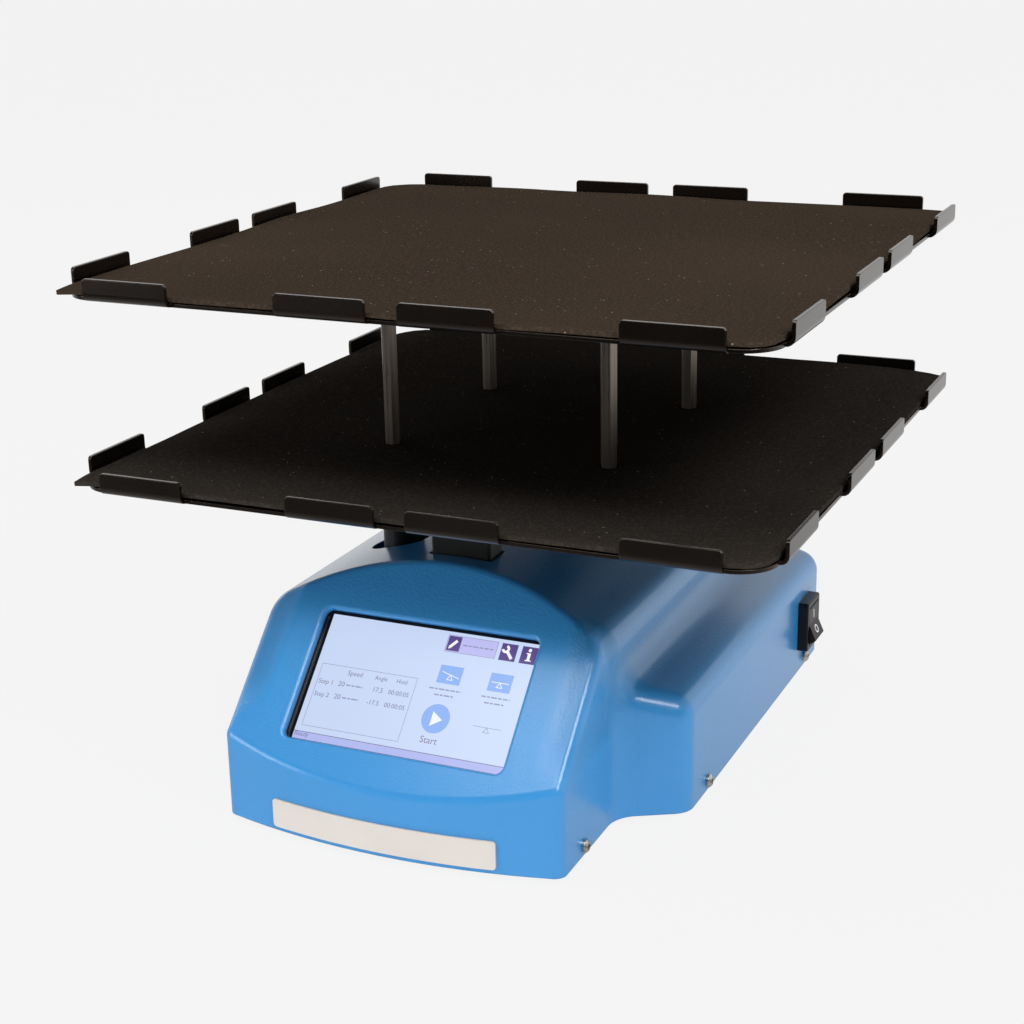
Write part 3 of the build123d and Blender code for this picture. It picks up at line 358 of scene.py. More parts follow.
def moulded_blue():
    """Blue moulded plastic with a leather-like pebble, shaded softly at the face's sides."""
    finish = Finish("moulded_blue")
    colour = colours().housing
    cloud = finish.noise(scale=5, detail=3)
    pebble = finish.cells(scale=1050, feature="SMOOTH_F1") * 0.7 + finish.noise(scale=1300) * 0.3
    across, along, over = (finish.axis(finish.place, letter) for letter in "XYZ")
    sides = across.ramp(NOSE_FLAT, NOSE_EDGE) + (1 - across.ramp(-NOSE_EDGE, -NOSE_FLAT))
    fall = sides * (1 - along.ramp(NOSE_FRONT, NOSE_BACK)) * over.ramp(BAND_TOP, FACE_FOOT)
    edge = finish.bump(1 - fall, 1.0, NOSE_FALL, finish.rounded(1.5 * MM))
    return finish.set(
        Base_Color=finish.blend(cloud, toned(colour, 0.96), toned(colour, 1.03)),
        Roughness=0.33 + (cloud - 0.5) * 0.08,
        Normal=finish.bump(pebble, 0.55, 0.3 * MM, edge),
        Specular_IOR_Level=0.3,
        Coat_Weight=0.85,
        Coat_Roughness=0.18,
    )


def plain_plastic(name, colour, roughness, bump=0.15, gloss=0.5):
    """Moulded plastic with a faint grain."""
    finish = Finish(name)
    cloud = finish.noise(scale=30)
    grain = finish.noise(scale=1500)
    return finish.set(
        Base_Color=finish.blend(cloud, toned(colour, 0.92), toned(colour, 1.06)),
        Roughness=roughness + (cloud - 0.5) * 0.08,
        Normal=finish.bump(grain, bump, 0.2 * MM, finish.rounded(0.3 * MM)),
        Specular_IOR_Level=gloss,
    )


def brushed_metal(name, colour, roughness, stretch, metallic=1.0, bump=0.15, contrast=0.3):
    """Metal with drawn lines along one axis."""
    finish = Finish(name)
    lines = finish.noise(scale=900, detail=3, vector=finish.stretch(stretch))
    cloud = finish.noise(scale=40)
    dark, light = toned(colour, 1 - contrast), toned(colour, 1 + contrast)
    return finish.set(
        Base_Color=finish.blend(lines.ramp(0.3, 0.7), dark, light),
        Metallic=metallic,
        Roughness=roughness + (lines - 0.5) * 0.15 + (cloud - 0.5) * 0.08,
        Normal=finish.bump(lines, bump, 0.1 * MM, finish.rounded(0.2 * MM)),
    )


BOARD_DARK = (0.012, 0.09, 0.035)
BOARD_LIGHT = (0.03, 0.20, 0.07)


def circuit_green():
    """Solder-masked board with faint tracks."""
    finish = Finish("circuit_green")
    pattern = {"Scale": 160, "Mortar Size": 0.08, "Color1": (1, 1, 1), "Color2": (0.7, 0.7, 0.7)}
    tracks = finish.node(
        "ShaderNodeTexBrick",
        {"offset": 0.5, "squash": 1},
        {"Vector": finish.place, **pattern},
        "Fac",
    )
    return finish.set(
        Base_Color=finish.blend(tracks * 0.5, BOARD_DARK, BOARD_LIGHT),
        Roughness=0.35 + finish.noise(scale=50) * 0.1,
        Normal=finish.bump(tracks, 0.2, 0.1 * MM),
    )


def black_glass():
    """Black glass with faint smudges."""
    finish = Finish("black_glass")
    return finish.set(
        Base_Color=(0.004, 0.004, 0.005),
        Roughness=0.08 + finish.noise(scale=40, detail=3) * 0.08,
    )


SCREEN_DARK = (0.02, 0.02, 0.02)
SCREEN_SHADE_REACH = 60 * MM


def lit(finish, tone):
    """Make a finish glow in a tone, as a screen does."""
    return finish.set(
        Base_Color=SCREEN_DARK, Emission_Color=tone, Emission_Strength=1.0, Roughness=0.25
    )


def lit_picture():
    """The screen's pale lit ground, a little darker towards its left."""
    finish = Finish("lit_picture")
    colour = colours().picture
    shade = finish.axis(finish.place, "X").ramp(-SCREEN_SHADE_REACH, SCREEN_SHADE_REACH)
    return lit(finish, finish.blend(shade, toned(colour, 0.97), toned(colour, 1.03)))


def lit_flat(name, colour):
    """One flat lit colour of the screen's picture, faintly uneven as the pixels are."""
    finish = Finish(name)
    cloud = finish.noise(scale=900, detail=1)
    return lit(finish, finish.blend(cloud, toned(colour, 0.95), toned(colour, 1.04)))


# Decks

STANDOFF_REACH = 50.8 * MM
MAT_HOLE_RADIUS = 3.95 * MM
MAT_HOLE_BLOCK = 6 * MM
MAT_HOLE_INSIDE = 5.1 * MM
MAT_HOLE_RING = 6.1 * MM
MAT_ROUND_CORNER = 15 * MM
MAT_EDGE_ANGLE = math.radians(50)
TRAY_CORNER = 16 * MM
WAVE_PACE = 9
CURL_PACE = 16
CURL_SHIFT = Vector((7, 3, 0))
CURL_SHARE = 0.35
CURL_REACH = 14 * MM
DROOP_REACH = 6 * MM
RISE_REACH = 40 * MM
RISE_END_POWER = 10
# The lower mat's colour is darkened and cooled as painted shade, for the shadow that the upper deck
# casts on it; the upper mat keeps nearly the rubber's own colour.
LOWER_MAT_PAINTED_SHADE = (0.64, 0.74, 0.86)
UPPER_MAT_SHARE = (0.95, 0.95, 0.95)
LOWER_MAT_SEED = 3.0
UPPER_MAT_SEED = 11.0


def grid_lines(half, holed):
    """Places of the mat's grid lines, with lines round the holes and the rounded corners."""
    marks = {-half, half, -half + MAT_ROUND_CORNER, half - MAT_ROUND_CORNER}
    if holed:
        for side in (-1, 1):
            for step in range(-2, 3):
                marks.add(side * STANDOFF_REACH + step * MAT_HOLE_BLOCK / 2)
    marks = sorted(marks)
    lines = []
    for low, high in zip(marks, marks[1:]):
        count = max(1, round((high - low) / sizes().mat_cell))
        lines += [low + (high - low) * step / count for step in range(count)]
    return lines + [half]


def into_round_corner(x, y, half):
    """Draw a point of the square grid into the two corners that are cut round."""
    inner = half - MAT_ROUND_CORNER
    dx, dy = abs(x) - inner, abs(y) - inner
    if x * y < 0 and dx > 0 and dy > 0:
        share = max(dx, dy) / math.hypot(dx, dy)
        x = math.copysign(inner + dx * share, x)
        y = math.copysign(inner + dy * share, y)
    return x, y


def mat_height(x, y, half, seed, rise):
    """Height of the mat over its rest: waves, curled edges, drooping corners, a lifted rear."""
    place = Vector((x, y, seed))
    wave = (1 + noise.noise(place * WAVE_PACE)) / 2 * sizes().mat_wave
    edge = max(0, 1 - (half - max(abs(x), abs(y))) / CURL_REACH)
    bend = max(0, CURL_SHARE + noise.noise(place * CURL_PACE + CURL_SHIFT))
    curl = bend * edge * edge * sizes().mat_curl
    inner = half - TRAY_CORNER
    beyond = math.hypot(max(0, abs(x) - inner), max(0, abs(y) - inner)) - TRAY_CORNER
    droop = max(0, beyond) / DROOP_REACH * (sizes().mat_droop + wave + curl)
    lift = max(0, 1 - (half - y) / RISE_REACH) ** 2 * max(0, 1 - (x / half) ** RISE_END_POWER)
    return wave + curl - droop + lift * rise


def cut_hole(mesh, centre_x, centre_y):
    """Open a round hole of sixteen points where a standoff passes."""
    centre = Vector((centre_x, centre_y, 0))

    def near(reach):
        return [
            vertex
            for vertex in mesh.verts
            if max(abs(vertex.co.x - centre_x), abs(vertex.co.y - centre_y)) < reach
        ]

    bmesh.ops.delete(mesh, geom=near(MAT_HOLE_INSIDE), context="VERTS")
    ring = near(MAT_HOLE_RING)
    ring.sort(key=lambda vertex: math.atan2(vertex.co.y - centre_y, vertex.co.x - centre_x))
    rim = []
    for vertex in ring:
        away = (vertex.co - centre).normalized() * MAT_HOLE_RADIUS
        rim.append(mesh.verts.new(centre + away))
    for index in range(len(ring)):
        after = (index + 1) % len(ring)
        mesh.faces.new((rim[index], ring[index], ring[after], rim[after]))


def mat_piece(name, node, holed, seed, rise, material):
    """A rubber mat laid in its tray, with slow waves, curled edges, and bevelled cut edges."""
    low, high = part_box(node)
    middle = (low + high) / 2
    half = (high.x - low.x) / 2
    lines = grid_lines(half, holed)
    mesh = bmesh.new()
    grid = [[mesh.verts.new((*into_round_corner(x, y, half), 0)) for y in lines] for x in lines]
    for row, after in zip(grid, grid[1:]):
        for j in range(len(lines) - 1):
            mesh.faces.new((row[j], after[j], after[j + 1], row[j + 1]))
    if holed:
        for side_x in (-1, 1):
            for side_y in (-1, 1):
                cut_hole(mesh, side_x * STANDOFF_REACH, side_y * STANDOFF_REACH)
    for vertex in mesh.verts:
        height = mat_height(vertex.co.x, vertex.co.y, half, seed, rise)
        vertex.co += Vector((middle.x, middle.y, low.z + height))
    mesh.normal_update()
    data = bpy.data.meshes.new(name + "_sheet")
    mesh.to_mesh(data)
    mesh.free()
    sheet = bpy.data.objects.new(name + "_sheet", data)
    bpy.context.scene.collection.objects.link(sheet)
    solid = sheet.modifiers.new("thickness", "SOLIDIFY")
    solid.thickness = high.z - low.z
    solid.offset = 1
    edge = sheet.modifiers.new("edge", "BEVEL")
    edge.width = sizes().mat_bevel
    edge.segments = 2
    edge.limit_method = "ANGLE"
    edge.angle_limit = MAT_EDGE_ANGLE
    finished = applied(sheet, name)
    for face in finished.polygons:
        face.use_smooth = True
    piece = link(name, finished, "platform", material)
    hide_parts(node)


class SHAKER_OT_mats(bpy.types.Operator):
    """Lay a rubber mat in each tray"""

    bl_idname = "shaker.mats"
    bl_label = "Rubber mats"

    def execute(self, context):
        # The lower mat gets a copy of the rubber that is darkened as painted shade.
        lower = mat_rubber("lower_mat_rubber_painted_shade", LOWER_MAT_PAINTED_SHADE)
        upper = mat_rubber("upper_mat_rubber", UPPER_MAT_SHARE)
        rise = sizes().mat_rear_rise
        mat_piece("lower_rubber_mat", "lower_mat", True, LOWER_MAT_SEED, rise, lower)
        mat_piece("upper_rubber_mat", "upper_mat", False, UPPER_MAT_SEED, 0, upper)
        return {"FINISHED"}


# Ways in which a metal's drawn lines run
LINES_ALONG_Z = (1, 1, 0.012)
LINES_ALONG_Y = (1, 0.05, 1)
LINES_EVEN = (1, 1, 1)


class SHAKER_OT_decks(bpy.types.Operator):
    """Finish the trays, standoffs and cradle"""

    bl_idname = "shaker.decks"
    bl_label = "Trays and standoffs"

    def execute(self, context):
        paint = satin_black("tray_paint", colours().paint, 0.22)
        dress(["lower_tray", "upper_tray"], paint)
        standoff = brushed_metal(
            "standoff_steel",
            colours().standoff,
            roughness=0.30,
            stretch=LINES_ALONG_Z,
            metallic=0.9,
            bump=0.08,
            contrast=0.16,
        )
        dress(["deck_standoffs"], standoff)
        cradle = brushed_metal("cradle_metal", (0.45, 0.45, 0.46), 0.45, LINES_ALONG_Y)
        dress(["platform_cradle"], cradle)
        return {"FINISHED"}


STEEL_NODES = (
    "upper_deck_screws",
    "lower_deck_screws",
    "cover_screws",
    "display_screws",
    "frame_screws",
    "block_screws",
    "plate_screws",
    "motor_screws",
    "board_screws",
    "pivot_pins",
    "rod_pins",
    "sector_shaft",
    "sector_bearings",
    "motor_shaft",
    "jack_nut",
)


class SHAKER_OT_fasteners(bpy.types.Operator):
    """Finish the screws, pins, bushes and pinion"""

    bl_idname = "shaker.fasteners"
    bl_label = "Screws and pins"

    def execute(self, context):
        steel = brushed_metal("plated_steel", colours().steel, 0.3, LINES_EVEN, bump=0.08)
        dress(STEEL_NODES, steel)
        bronze = brushed_metal("turned_bronze", (0.62, 0.38, 0.14), 0.32, LINES_EVEN)
        dress(["pivot_bushes", "pinion_gear"], bronze)
        return {"FINISHED"}


class SHAKER_OT_cover(bpy.types.Operator):
    """Finish the moulded cover, its pan, feet and nameplate"""

    bl_idname = "shaker.cover"
    bl_label = "Moulded cover"

    def execute(self, context):
        dress(["housing_cover"], moulded_blue())
        dress(["base_pan"], satin_black("pan_paint", (0.02, 0.02, 0.022), 0.5))
        dress(["rubber_feet"], plain_plastic("foot_rubber", (0.015, 0.015, 0.015), 0.8, 0.3))
        dress(["nameplate"], plain_plastic("bare_nameplate", colours().plate, 0.45, 0.1))
        return {"FINISHED"}


# Places on the sloping display face, in millimetres from the glass's middle

FACE_SLOPE = math.sqrt(0.5)
FACE_NORMAL = Vector((0, -FACE_SLOPE, FACE_SLOPE))
FACE_UP = Vector((0, FACE_SLOPE, FACE_SLOPE))
DRAWN_LEFT, DRAWN_RIGHT = -48.8, 49.0


def glass_front():
    """Middle of the glass's front face."""
    low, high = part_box("display_glass")
    middle = (low + high) / 2
    corners = [vertex.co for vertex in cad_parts["display_glass"].data.vertices]
    depth = max(corner.dot(FACE_NORMAL) for corner in corners)
    return middle + FACE_NORMAL * (depth - middle.dot(FACE_NORMAL))


GLASS_FRONT = glass_front()


def drawn_point(u, v, lift):
    """A point of the screen's drawing, fitted between the picture's edges."""
    left, right = sizes().picture_left / MM, sizes().picture_right / MM
    u = left + (u - DRAWN_LEFT) * (right - left) / (DRAWN_RIGHT - DRAWN_LEFT)
    across, up, out = Vector((u * MM, 0, 0)), FACE_UP * (v * MM), FACE_NORMAL * (lift * MM)
    return GLASS_FRONT + across + up + out


# Flat shapes

def box_shape(left, right, low, high):
    """Corners of an upright rectangle."""
    return [(left, low), (right, low), (right, high), (left, high)]


def stroke(start, end, width):
    """Corners of a straight stroke between two points."""
    along = Vector((end[0] - start[0], end[1] - start[1])).normalized() * (width / 2)
    across = Vector((-along.y, along.x))
    first, last = Vector(start), Vector(end)
    corners = (first - across, last - across, last + across, first + across)
    return [tuple(corner) for corner in corners]


def frame_shapes(left, right, low, high, width):
    """Four strokes round a rectangle."""
    corners = box_shape(left, right, low, high)
    return [stroke(a, b, width) for a, b in zip(corners, corners[1:] + corners[:1])]


def on_circle(u, v, radius, turns):
    """Points of a circle at some angles."""
    return [(u + radius * math.cos(turn), v + radius * math.sin(turn)) for turn in turns]


def disc(u, v, radius, count=48):
    """Corners of a round patch."""
    return on_circle(u, v, radius, [2 * math.pi * step / count for step in range(count)])


ARC_STEPS = 16


def arc(u, v, inner, outer, start, end):
    """Corners of a piece of a ring, between two angles in degrees."""
    span = end - start
    turns = [math.radians(start + span * step / ARC_STEPS) for step in range(ARC_STEPS + 1)]
    return on_circle(u, v, outer, turns) + on_circle(u, v, inner, turns[::-1])


RING_STEPS = 32


def ring_shapes(radius, width):
    """Short strokes that make a ring."""
    turns = [2 * math.pi * step / RING_STEPS for step in range(RING_STEPS + 1)]
    inner, outer = on_circle(0, 0, radius - width, turns), on_circle(0, 0, radius, turns)
    return [[inner[k], outer[k], outer[k + 1], inner[k + 1]] for k in range(RING_STEPS)]


PLANK_GAP = 0.1
SUPPORT_TALL = 2.1
SUPPORT_HALF = 1.3
FOOT_HALF = 1.4


def see_saw(left, right, level, tilt, width):
    """Strokes of a see-saw sign: a plank and the triangle that it rests on."""
    middle = (left + right) / 2
    fall = (right - left) / 2 * tilt
    top = (middle, level - PLANK_GAP)
    foot = level - SUPPORT_TALL
    return [
        stroke((left, level + fall), (right, level - fall), width),
        stroke(top, (middle - SUPPORT_HALF, foot), width),
        stroke(top, (middle + SUPPORT_HALF, foot), width),
        stroke((middle - FOOT_HALF, foot), (middle + FOOT_HALF, foot), width),
    ]


DASH_LENGTHS = (2.1, 1.3, 2.6, 1.7)
DASH_GAP = 0.5


def dashes(left, right, low, high):
    """A row of short dashes that stands for a line of small print."""
    shapes = []
    start = left
    while start < right:
        end = min(right, start + DASH_LENGTHS[len(shapes) % len(DASH_LENGTHS)])
        shapes.append(box_shape(start, end, low, high))
        start = end + DASH_GAP
    return shapes


def flat_layer(
    name, shapes, layer, material, points_at=drawn_point, body="base"
):
    """Thin flat patches in one piece, each a closed outline in millimetres; layer is low, high."""
    low, high = layer
    mesh = bmesh.new()
    for shape in shapes:
        under = [mesh.verts.new(points_at(u, v, low)) for u, v in shape]
        over = [mesh.verts.new(points_at(u, v, high)) for u, v in shape]
        mesh.faces.new(over)
        mesh.faces.new(under[::-1])
        for index in range(len(shape)):
            after = (index + 1) % len(shape)
            mesh.faces.new((under[index], under[after], over[after], over[index]))
    bmesh.ops.recalc_face_normals(mesh, faces=mesh.faces)
    data = bpy.data.meshes.new(name)
    mesh.to_mesh(data)
    mesh.free()
    link(name, data, body, material)


# Display

# Lower and upper face of each layer over the glass, in millimetres
GROUND_LAYER = (0.0, 0.02)
PATCH_LAYER = (0.01, 0.03)
TILE_LAYER = (0.02, 0.04)
LINE_LAYER = (0.02, 0.045)
SIGN_LAYER = (0.03, 0.05)

# Text, left, right and base line
WORDS = (
    ("Speed", -33.1, -26.2, 2.0),
    ("Angle", -20.2, -14.4, 2.0),
    ("Hold", -9.9, -5.1, 2.0),
    ("Step 1", -45.4, -38.7, -3.2),
    ("20", -35.9, -33.0, -3.2),
    ("17.5", -19.2, -14.9, -3.2),
    ("00:00:05", -12.2, -2.8, -3.2),
    ("Step 2", -45.4, -38.5, -8.8),
    ("20", -35.9, -33.0, -8.8),
    ("-17.5", -20.4, -14.9, -8.8),
    ("00:00:05", -12.2, -2.8, -8.8),
    ("Start", 8.3, 16.0, -20.6),
    ("Ready", -48.0, -41.6, -26.7),
)
WORD_DEPTH = 0.01
WORD_THINNING = -0.002
WORD_SMOOTHNESS = 3

STATUS_TOP = -24.8

# Left, right, low and high
SMALL_PRINT = (
    (-32.2, -24.3, -2.6, -2.0),
    (-32.2, -24.3, -8.2, -7.6),
    (14.2, 28.4, 22.1, 22.7),
    (5.2, 19.6, 2.2, 2.8),
    (8.2, 16.8, -0.3, 0.3),
    (28.9, 41.6, 2.2, 2.8),
    (31.0, 39.6, -0.3, 0.3),
)
TABLE = (-46.2, -1.1, -22.0, 5.4)
BUTTON = (6.7, 29.5, 18.8, 26.0)
TILES = ((7.1, 13.0, 19.3, 25.7), (31.3, 38.5, 18.6, 26.0), (40.5, 47.7, 18.6, 26.0))
SYMBOL_BOXES = ((7.4, 17.9, 5.1, 12.9), (30.4, 40.5, 5.1, 12.9))
LETTER_BARS = ((43.5, 44.8, 20.1, 23.3), (42.9, 44.8, 22.8, 23.3), (42.8, 45.5, 19.8, 20.3))

# Middle and radius
START_DISC = (12.3, -10.0, 6.25)
LETTER_DOT = (44.1, 24.5, 0.75)
LETTER_DOT_STEPS = 16

# Left, right, level and tilt
LEVEL_LINE_SIGN = (29.2, 41.8, -10.2, 0)
TILTED_SIGN = (8.9, 16.9, 9.0, 0.26)
LEVEL_SIGN = (31.5, 39.3, 9.0, 0)

START_ARROW = [(10.4, -7.1), (10.4, -13.4), (15.3, -10.2)]
PENCIL = ((8.5, 20.8), (11.2, 23.9))
PENCIL_TIP = [(7.9, 20.1), (8.9, 20.3), (8.1, 21.1)]
WRENCH_HANDLE = ((34.0, 22.9), (36.9, 19.7))
TOOL_WIDTH = 1.3

# Middle, inner and outer radius, first and last angle
WRENCH_JAW = (33.4, 23.6, 0.7, 1.8, 190, 440)


def word_mesh(text, left, right, level):
    """A word or number set between two places on the screen, as a thin mesh."""
    curve = bpy.data.curves.new("word", "FONT")
    curve.body = text
    curve.extrude = WORD_DEPTH
    curve.offset = WORD_THINNING
    curve.resolution_u = WORD_SMOOTHNESS
    holder = bpy.data.objects.new("word", curve)
    bpy.context.scene.collection.objects.link(holder)
    mesh = applied(holder, "word")
    spans = [vertex.co.x for vertex in mesh.vertices]
    scale = (right - left) / (max(spans) - min(spans))
    low, high = SIGN_LAYER
    for vertex in mesh.vertices:
        u = left + (vertex.co.x - min(spans)) * scale
        v = level + vertex.co.y * scale
        vertex.co = drawn_point(u, v, high if vertex.co.z > 0 else low)
    return mesh


def draw_words(material):
    """All words and numbers of the screen, joined into one piece."""
    joined = bmesh.new()
    for entry in WORDS:
        word = word_mesh(*entry)
        joined.from_mesh(word)
        bpy.data.meshes.remove(word)
    data = bpy.data.meshes.new("screen_words")
    joined.to_mesh(data)
    joined.free()
    link("screen_words", data, "base", material)


def lit_layer(name, colour, shapes, layer):
    """A layer of patches that glows in one colour."""
    flat_layer(name, shapes, layer, lit_flat(name, colour))


def draw_picture():
    """The lit picture, laid flat on the glass in thin layers."""
    low, high = sizes().picture_low / MM, sizes().picture_high / MM
    thick = sizes().line_width / MM
    thin = thick / 2
    shades = colours()
    ink = lit_flat("screen_ink", shades.ink)
    symbols = [box_shape(*box) for box in SYMBOL_BOXES] + [disc(*START_DISC)]
    lines = [
        *frame_shapes(*TABLE, thin),
        stroke((DRAWN_LEFT, STATUS_TOP), (DRAWN_RIGHT, STATUS_TOP), thick),
        *see_saw(*LEVEL_LINE_SIGN, thin),
        *frame_shapes(*BUTTON, thin),
    ]
    small_print = [shape for bar in SMALL_PRINT for shape in dashes(*bar)]
    signs = [
        START_ARROW,
        stroke(*PENCIL, TOOL_WIDTH),
        PENCIL_TIP,
        stroke(*WRENCH_HANDLE, TOOL_WIDTH),
        arc(*WRENCH_JAW),
        disc(*LETTER_DOT, LETTER_DOT_STEPS),
        *(box_shape(*box) for box in LETTER_BARS),
        *see_saw(*TILTED_SIGN, thick),
        *see_saw(*LEVEL_SIGN, thick),
    ]
    ground = [box_shape(DRAWN_LEFT, DRAWN_RIGHT, low, high)]
    status_bar = [box_shape(DRAWN_LEFT, DRAWN_RIGHT, low, STATUS_TOP)]
    flat_layer("lit_picture", ground, GROUND_LAYER, lit_picture())
    lit_layer("screen_status_bar", shades.status, status_bar, PATCH_LAYER)
    lit_layer("screen_button", shades.button, [box_shape(*BUTTON)], PATCH_LAYER)
    lit_layer("screen_symbols", shades.accent, symbols, PATCH_LAYER)
    lit_layer("screen_tiles", shades.tile, [box_shape(*box) for box in TILES], TILE_LAYER)
    flat_layer("screen_lines", lines, LINE_LAYER, ink)
    lit_layer("screen_small_print", shades.small_print, small_print, LINE_LAYER)
    draw_words(ink)
    lit_layer("screen_signs", shades.white, signs, SIGN_LAYER)


class SHAKER_OT_display(bpy.types.Operator):
    """Finish the display and draw its plain picture"""

    bl_idname = "shaker.display"
    bl_label = "Touch display"

    def execute(self, context):
        dress(["display_glass"], black_glass())
        dress(["display_panel"], plain_plastic("panel_frame", (0.3, 0.3, 0.31), 0.4))
        gasket = plain_plastic("gasket_foam", (0.012, 0.012, 0.012), 0.9, 0.4)
        dress(["display_gasket"], gasket)
        dress(["display_board"], circuit_green())
        draw_picture()
        return {"FINISHED"}


class SHAKER_OT_frame(bpy.types.Operator):
    """Finish the frame, pivot blocks and drive"""

    bl_idname = "shaker.frame"
    bl_label = "Frame and drive"

    def execute(self, context):
        metal = brushed_metal("frame_metal", (0.5, 0.5, 0.51), 0.42, LINES_ALONG_Y)
        dress(["support_frame", "motor_plate"], metal)
        acetal = plain_plastic("black_acetal", (0.003, 0.003, 0.003), 0.5)
        dress(["front_pivot_block", "rear_pivot_block", "push_rod"], acetal)
        nylon = plain_plastic("pale_nylon", (0.68, 0.67, 0.60), 0.5)
        dress(["sector_gear", "board_spacers"], nylon)
        dress(["drive_motor"], satin_black("motor_paint", (0.012, 0.012, 0.013), 0.45))
        dress(["control_board"], circuit_green())
        components = plain_plastic("component_black", (0.02, 0.02, 0.022), 0.55)
        dress(["board_components"], components)
        return {"FINISHED"}


# Power switch

LAND_FACING = 0.8
LAND_SIDEWAYS = 0.1
MARK_LAYER = (-0.1, 0.12)


def rocker_land(upper):
    """Middle and normal of the rocker's upper or lower flat face."""
    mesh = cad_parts["power_switch_rocker"].data
    low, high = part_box("power_switch_rocker")
    middle = (low.z + high.z) / 2
    faces = [
        face
        for face in mesh.polygons
        if face.normal.x > LAND_FACING
        and abs(face.normal.y) < LAND_SIDEWAYS
        and (face.center.z > middle) == upper
    ]
    area = sum(face.area for face in faces)
    centre = sum((face.center * face.area for face in faces), Vector()) / area
    normal = sum((face.normal * face.area for face in faces), Vector()).normalized()
    return centre, normal


def on_land(upper):
    """A function that places a point of a mark on one of the rocker's flat faces."""
    centre, normal = rocker_land(upper)
    across = Vector((0, 1, 0))
    rise = normal.cross(across)
    return lambda u, v, lift: centre + across * (u * MM) + rise * (v * MM) + normal * (lift * MM)


class SHAKER_OT_switch(bpy.types.Operator):
    """Finish the power switch and its marks, and the inlet"""

    bl_idname = "shaker.switch"
    bl_label = "Power switch"

    def execute(self, context):
        switch_black = plain_plastic("switch_black", (0.004, 0.004, 0.004), 0.30, 0.05, 0.25)
        dress(["power_switch_body", "power_switch_rocker"], switch_black)
        dress(["power_jack"], plain_plastic("jack_black", (0.008, 0.008, 0.008), 0.4))
        tall, wide = sizes().mark_size / MM, sizes().mark_stroke / MM
        paint = plain_plastic("mark_white", colours().white, 0.5, 0.05)
        bar = [box_shape(-wide / 2, wide / 2, -tall / 2, tall / 2)]
        ring = ring_shapes(tall / 2, wide)
        for name, shapes, upper in (
            ("switch_on_mark", bar, True),
            ("switch_off_mark", ring, False),
        ):
            land = on_land(upper)
            flat_layer(name, shapes, MARK_LAYER, paint, land, "switch_rocker")
        return {"FINISHED"}


# Stage

CAMERA_PLACE = (0.327955, -0.749219, 0.364706)
CAMERA_AZIMUTH = 24.443
CAMERA_ELEVATION = 18.167
CAMERA_ROLL = -1.10
CAMERA_LENS = 66.81
CAMERA_SENSOR = 36
CAMERA_NEAR = 0.01

# Name, place, size and power
LAMPS = (
    ("top_softbox", (-0.1, -0.6, 1.9), 1.3, 20),
    ("right_softbox", (1.1, -0.8, 1.45), 0.7, 17),
    ("left_softbox", (-1.2, 0.6, 0.9), 0.7, 4),
    ("front_softbox", (-1.5, -1.3, 0.35), 0.9, 10),
)
LAMP_TARGET = (0, 0, 0.12)

# How strongly the surround lights the object and shows in its gloss, from dim in front to pale
WORLD_LIGHT = 0.20
FRONT_GLEAM = 0.02
WORLD_GLEAM_FROM, WORLD_GLEAM_TO = -0.5, 0.35
FLOOR_GLEAM_FROM, FLOOR_GLEAM_TO = -0.75, 0.6
FLOOR_DARK, FLOOR_LIGHT = (0.78, 0.78, 0.78), (0.82, 0.82, 0.82)
FLOOR_BOUNCE = 0.75
FLOOR_GLOW = 0.96
FLOOR_REACH = 6


def camera_matrix():
    """The camera's place and turn from its azimuth, elevation and roll."""
    angles = (CAMERA_AZIMUTH, CAMERA_ELEVATION, CAMERA_ROLL)
    azimuth, elevation, roll = (math.radians(angle) for angle in angles)
    level = math.cos(elevation)
    back = Vector(
        (math.sin(azimuth) * level, -math.cos(azimuth) * level, math.sin(elevation))
    )
    right = Vector((math.cos(azimuth), math.sin(azimuth), 0))
    up = back.cross(right)
    side = right * math.cos(roll) + up * math.sin(roll)
    top = up * math.cos(roll) - right * math.sin(roll)
    turn = Matrix((side, top, back)).transposed().to_4x4()
    return Matrix.Translation(CAMERA_PLACE) @ turn


def add_camera(scene):
    """The camera that looks as the photograph does."""
    data = bpy.data.cameras.new("photo_camera")
    data.lens = CAMERA_LENS
    data.sensor_width = CAMERA_SENSOR
    data.clip_start = CAMERA_NEAR
    camera = bpy.data.objects.new("photo_camera", data)
    camera.matrix_world = camera_matrix()
    scene.collection.objects.link(camera)
    scene.camera = camera


def add_lamp(scene, name, place, size, power):
    """A soft square lamp aimed at the object."""
    data = bpy.data.lights.new(name, "AREA")
    data.shape = "SQUARE"
    data.size = size
    data.energy = power
    lamp = bpy.data.objects.new(name, data)
    lamp.location = place
    aim = Vector(LAMP_TARGET) - Vector(place)
    lamp.rotation_euler = aim.to_track_quat("-Z", "Y").to_euler()
    scene.collection.objects.link(lamp)


def studio_world(backdrop):
    """A plain surround: pale for the camera, dim in front for reflections, weak as light."""
    world = bpy.data.worlds.new("studio_world")
    world.use_nodes = True
    maths = Maths(world.node_tree)
    toward = maths.node("ShaderNodeTexCoord", output="Generated")
    behind = maths.axis(toward, "Y").ramp(WORLD_GLEAM_FROM, WORLD_GLEAM_TO)
    gleam = behind * (1 - FRONT_GLEAM) + FRONT_GLEAM
    background = "ShaderNodeBackground"
    light = maths.node(background, inputs={"Color": (1, 1, 1), "Strength": WORLD_LIGHT})
    reflection = maths.node(background, inputs={"Color": backdrop, "Strength": gleam})
    shown = maths.node(background, inputs={"Color": backdrop})
    unseen = maths.either(maths.ray("Glossy"), light, reflection)
    direct = (maths.ray("Camera") + maths.ray("Transmission")).at_most(1)
    maths.node("ShaderNodeOutputWorld", inputs={"Surface": maths.either(direct, unseen, shown)})
    return world


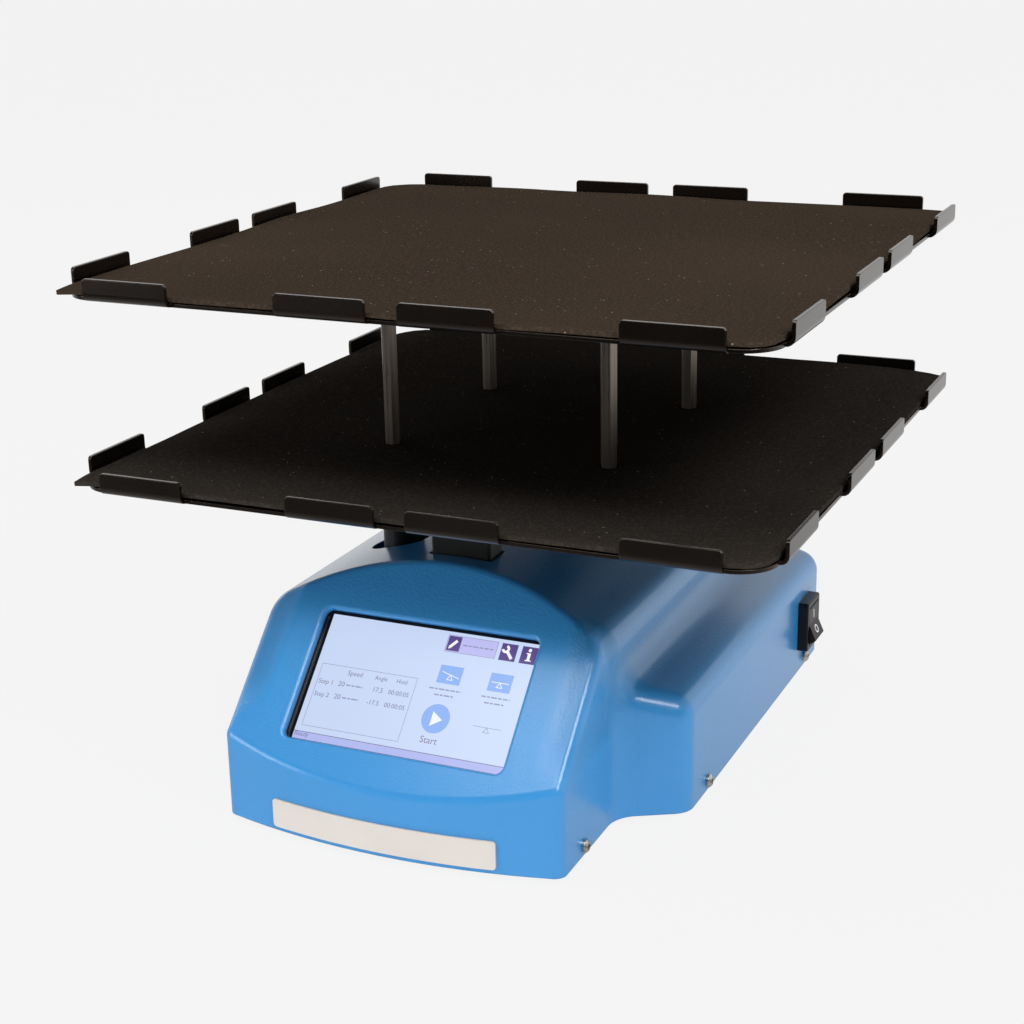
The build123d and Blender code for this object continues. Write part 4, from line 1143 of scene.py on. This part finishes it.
def pale_floor(backdrop):
    """A floor of the backdrop's colour with a faint shadow, mirrored dimly in front."""
    finish = Finish("pale_floor")
    finish.set(
        Base_Color=finish.blend(finish.noise(scale=40), FLOOR_DARK, FLOOR_LIGHT),
        Roughness=0.9,
        Emission_Color=(1, 1, 1),
        Emission_Strength=FLOOR_BOUNCE,
    )
    surface = Wire(finish, finish.shader.outputs[0])
    glow = finish.node("ShaderNodeEmission", inputs={"Color": backdrop})
    behind = finish.axis(finish.place, "Y").ramp(FLOOR_GLEAM_FROM, FLOOR_GLEAM_TO)
    mirror = {"Color": backdrop, "Strength": behind + FRONT_GLEAM}
    reflection = finish.node("ShaderNodeEmission", inputs=mirror)
    unseen = finish.either(finish.ray("Glossy"), surface, reflection)
    whole = finish.either(finish.ray("Camera") * FLOOR_GLOW, unseen, glow)
    finish.connect(finish.output.inputs["Surface"], whole)
    return finish.material


def add_floor(scene, backdrop):
    """The floor that the shaker stands on."""
    reach = FLOOR_REACH
    mesh = bpy.data.meshes.new("floor")
    corners = [(-reach, -reach, 0), (reach, -reach, 0), (reach, reach, 0), (-reach, reach, 0)]
    mesh.from_pydata(corners, [], [(0, 1, 2, 3)])
    mesh.update()
    floor = bpy.data.objects.new("floor", mesh)
    scene.collection.objects.link(floor)
    mesh.materials.append(pale_floor(backdrop))


class SHAKER_OT_stage(bpy.types.Operator):
    """Set the camera, floor, lamps and background"""

    bl_idname = "shaker.stage"
    bl_label = "Stage"

    def execute(self, context):
        scene = context.scene
        backdrop = tuple(colours().backdrop)
        scene.view_settings.view_transform = "Standard"
        scene.world = studio_world(backdrop)
        add_camera(scene)
        add_floor(scene, backdrop)
        for lamp in LAMPS:
            add_lamp(scene, *lamp)
        return {"FINISHED"}


STEPS = (
    SHAKER_OT_decks,
    SHAKER_OT_mats,
    SHAKER_OT_fasteners,
    SHAKER_OT_cover,
    SHAKER_OT_display,
    SHAKER_OT_frame,
    SHAKER_OT_switch,
    SHAKER_OT_stage,
)


class SHAKER_PT_panel(bpy.types.Panel):
    """The shaker's steps and settings"""

    bl_idname = "SHAKER_PT_panel"
    bl_label = "Rocker Shaker"
    bl_space_type = "VIEW_3D"
    bl_region_type = "UI"
    bl_category = "Rocker Shaker"

    def draw(self, context):
        for step in STEPS:
            self.layout.operator(step.bl_idname)
        for group in (context.scene.shaker_sizes, context.scene.shaker_colours):
            column = self.layout.column()
            for key in group.bl_rna.properties.keys():
                if key not in ("rna_type", "name"):
                    column.prop(group, key)


CLASSES = (ShakerSizes, ShakerColours, *STEPS, SHAKER_PT_panel)


def register():
    """Register the classes and put the settings on the scene."""
    for one in CLASSES:
        bpy.utils.register_class(one)
    bpy.types.Scene.shaker_sizes = bpy.props.PointerProperty(type=ShakerSizes)
    bpy.types.Scene.shaker_colours = bpy.props.PointerProperty(type=ShakerColours)


def unregister():
    """Take the settings and the classes away again."""
    del bpy.types.Scene.shaker_colours
    del bpy.types.Scene.shaker_sizes
    for one in reversed(CLASSES):
        bpy.utils.unregister_class(one)


def main():
    """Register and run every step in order."""
    register()
    for step in STEPS:
        group, name = step.bl_idname.split(".")
        getattr(getattr(bpy.ops, group), name)()


if __name__ == "__main__":
    main()
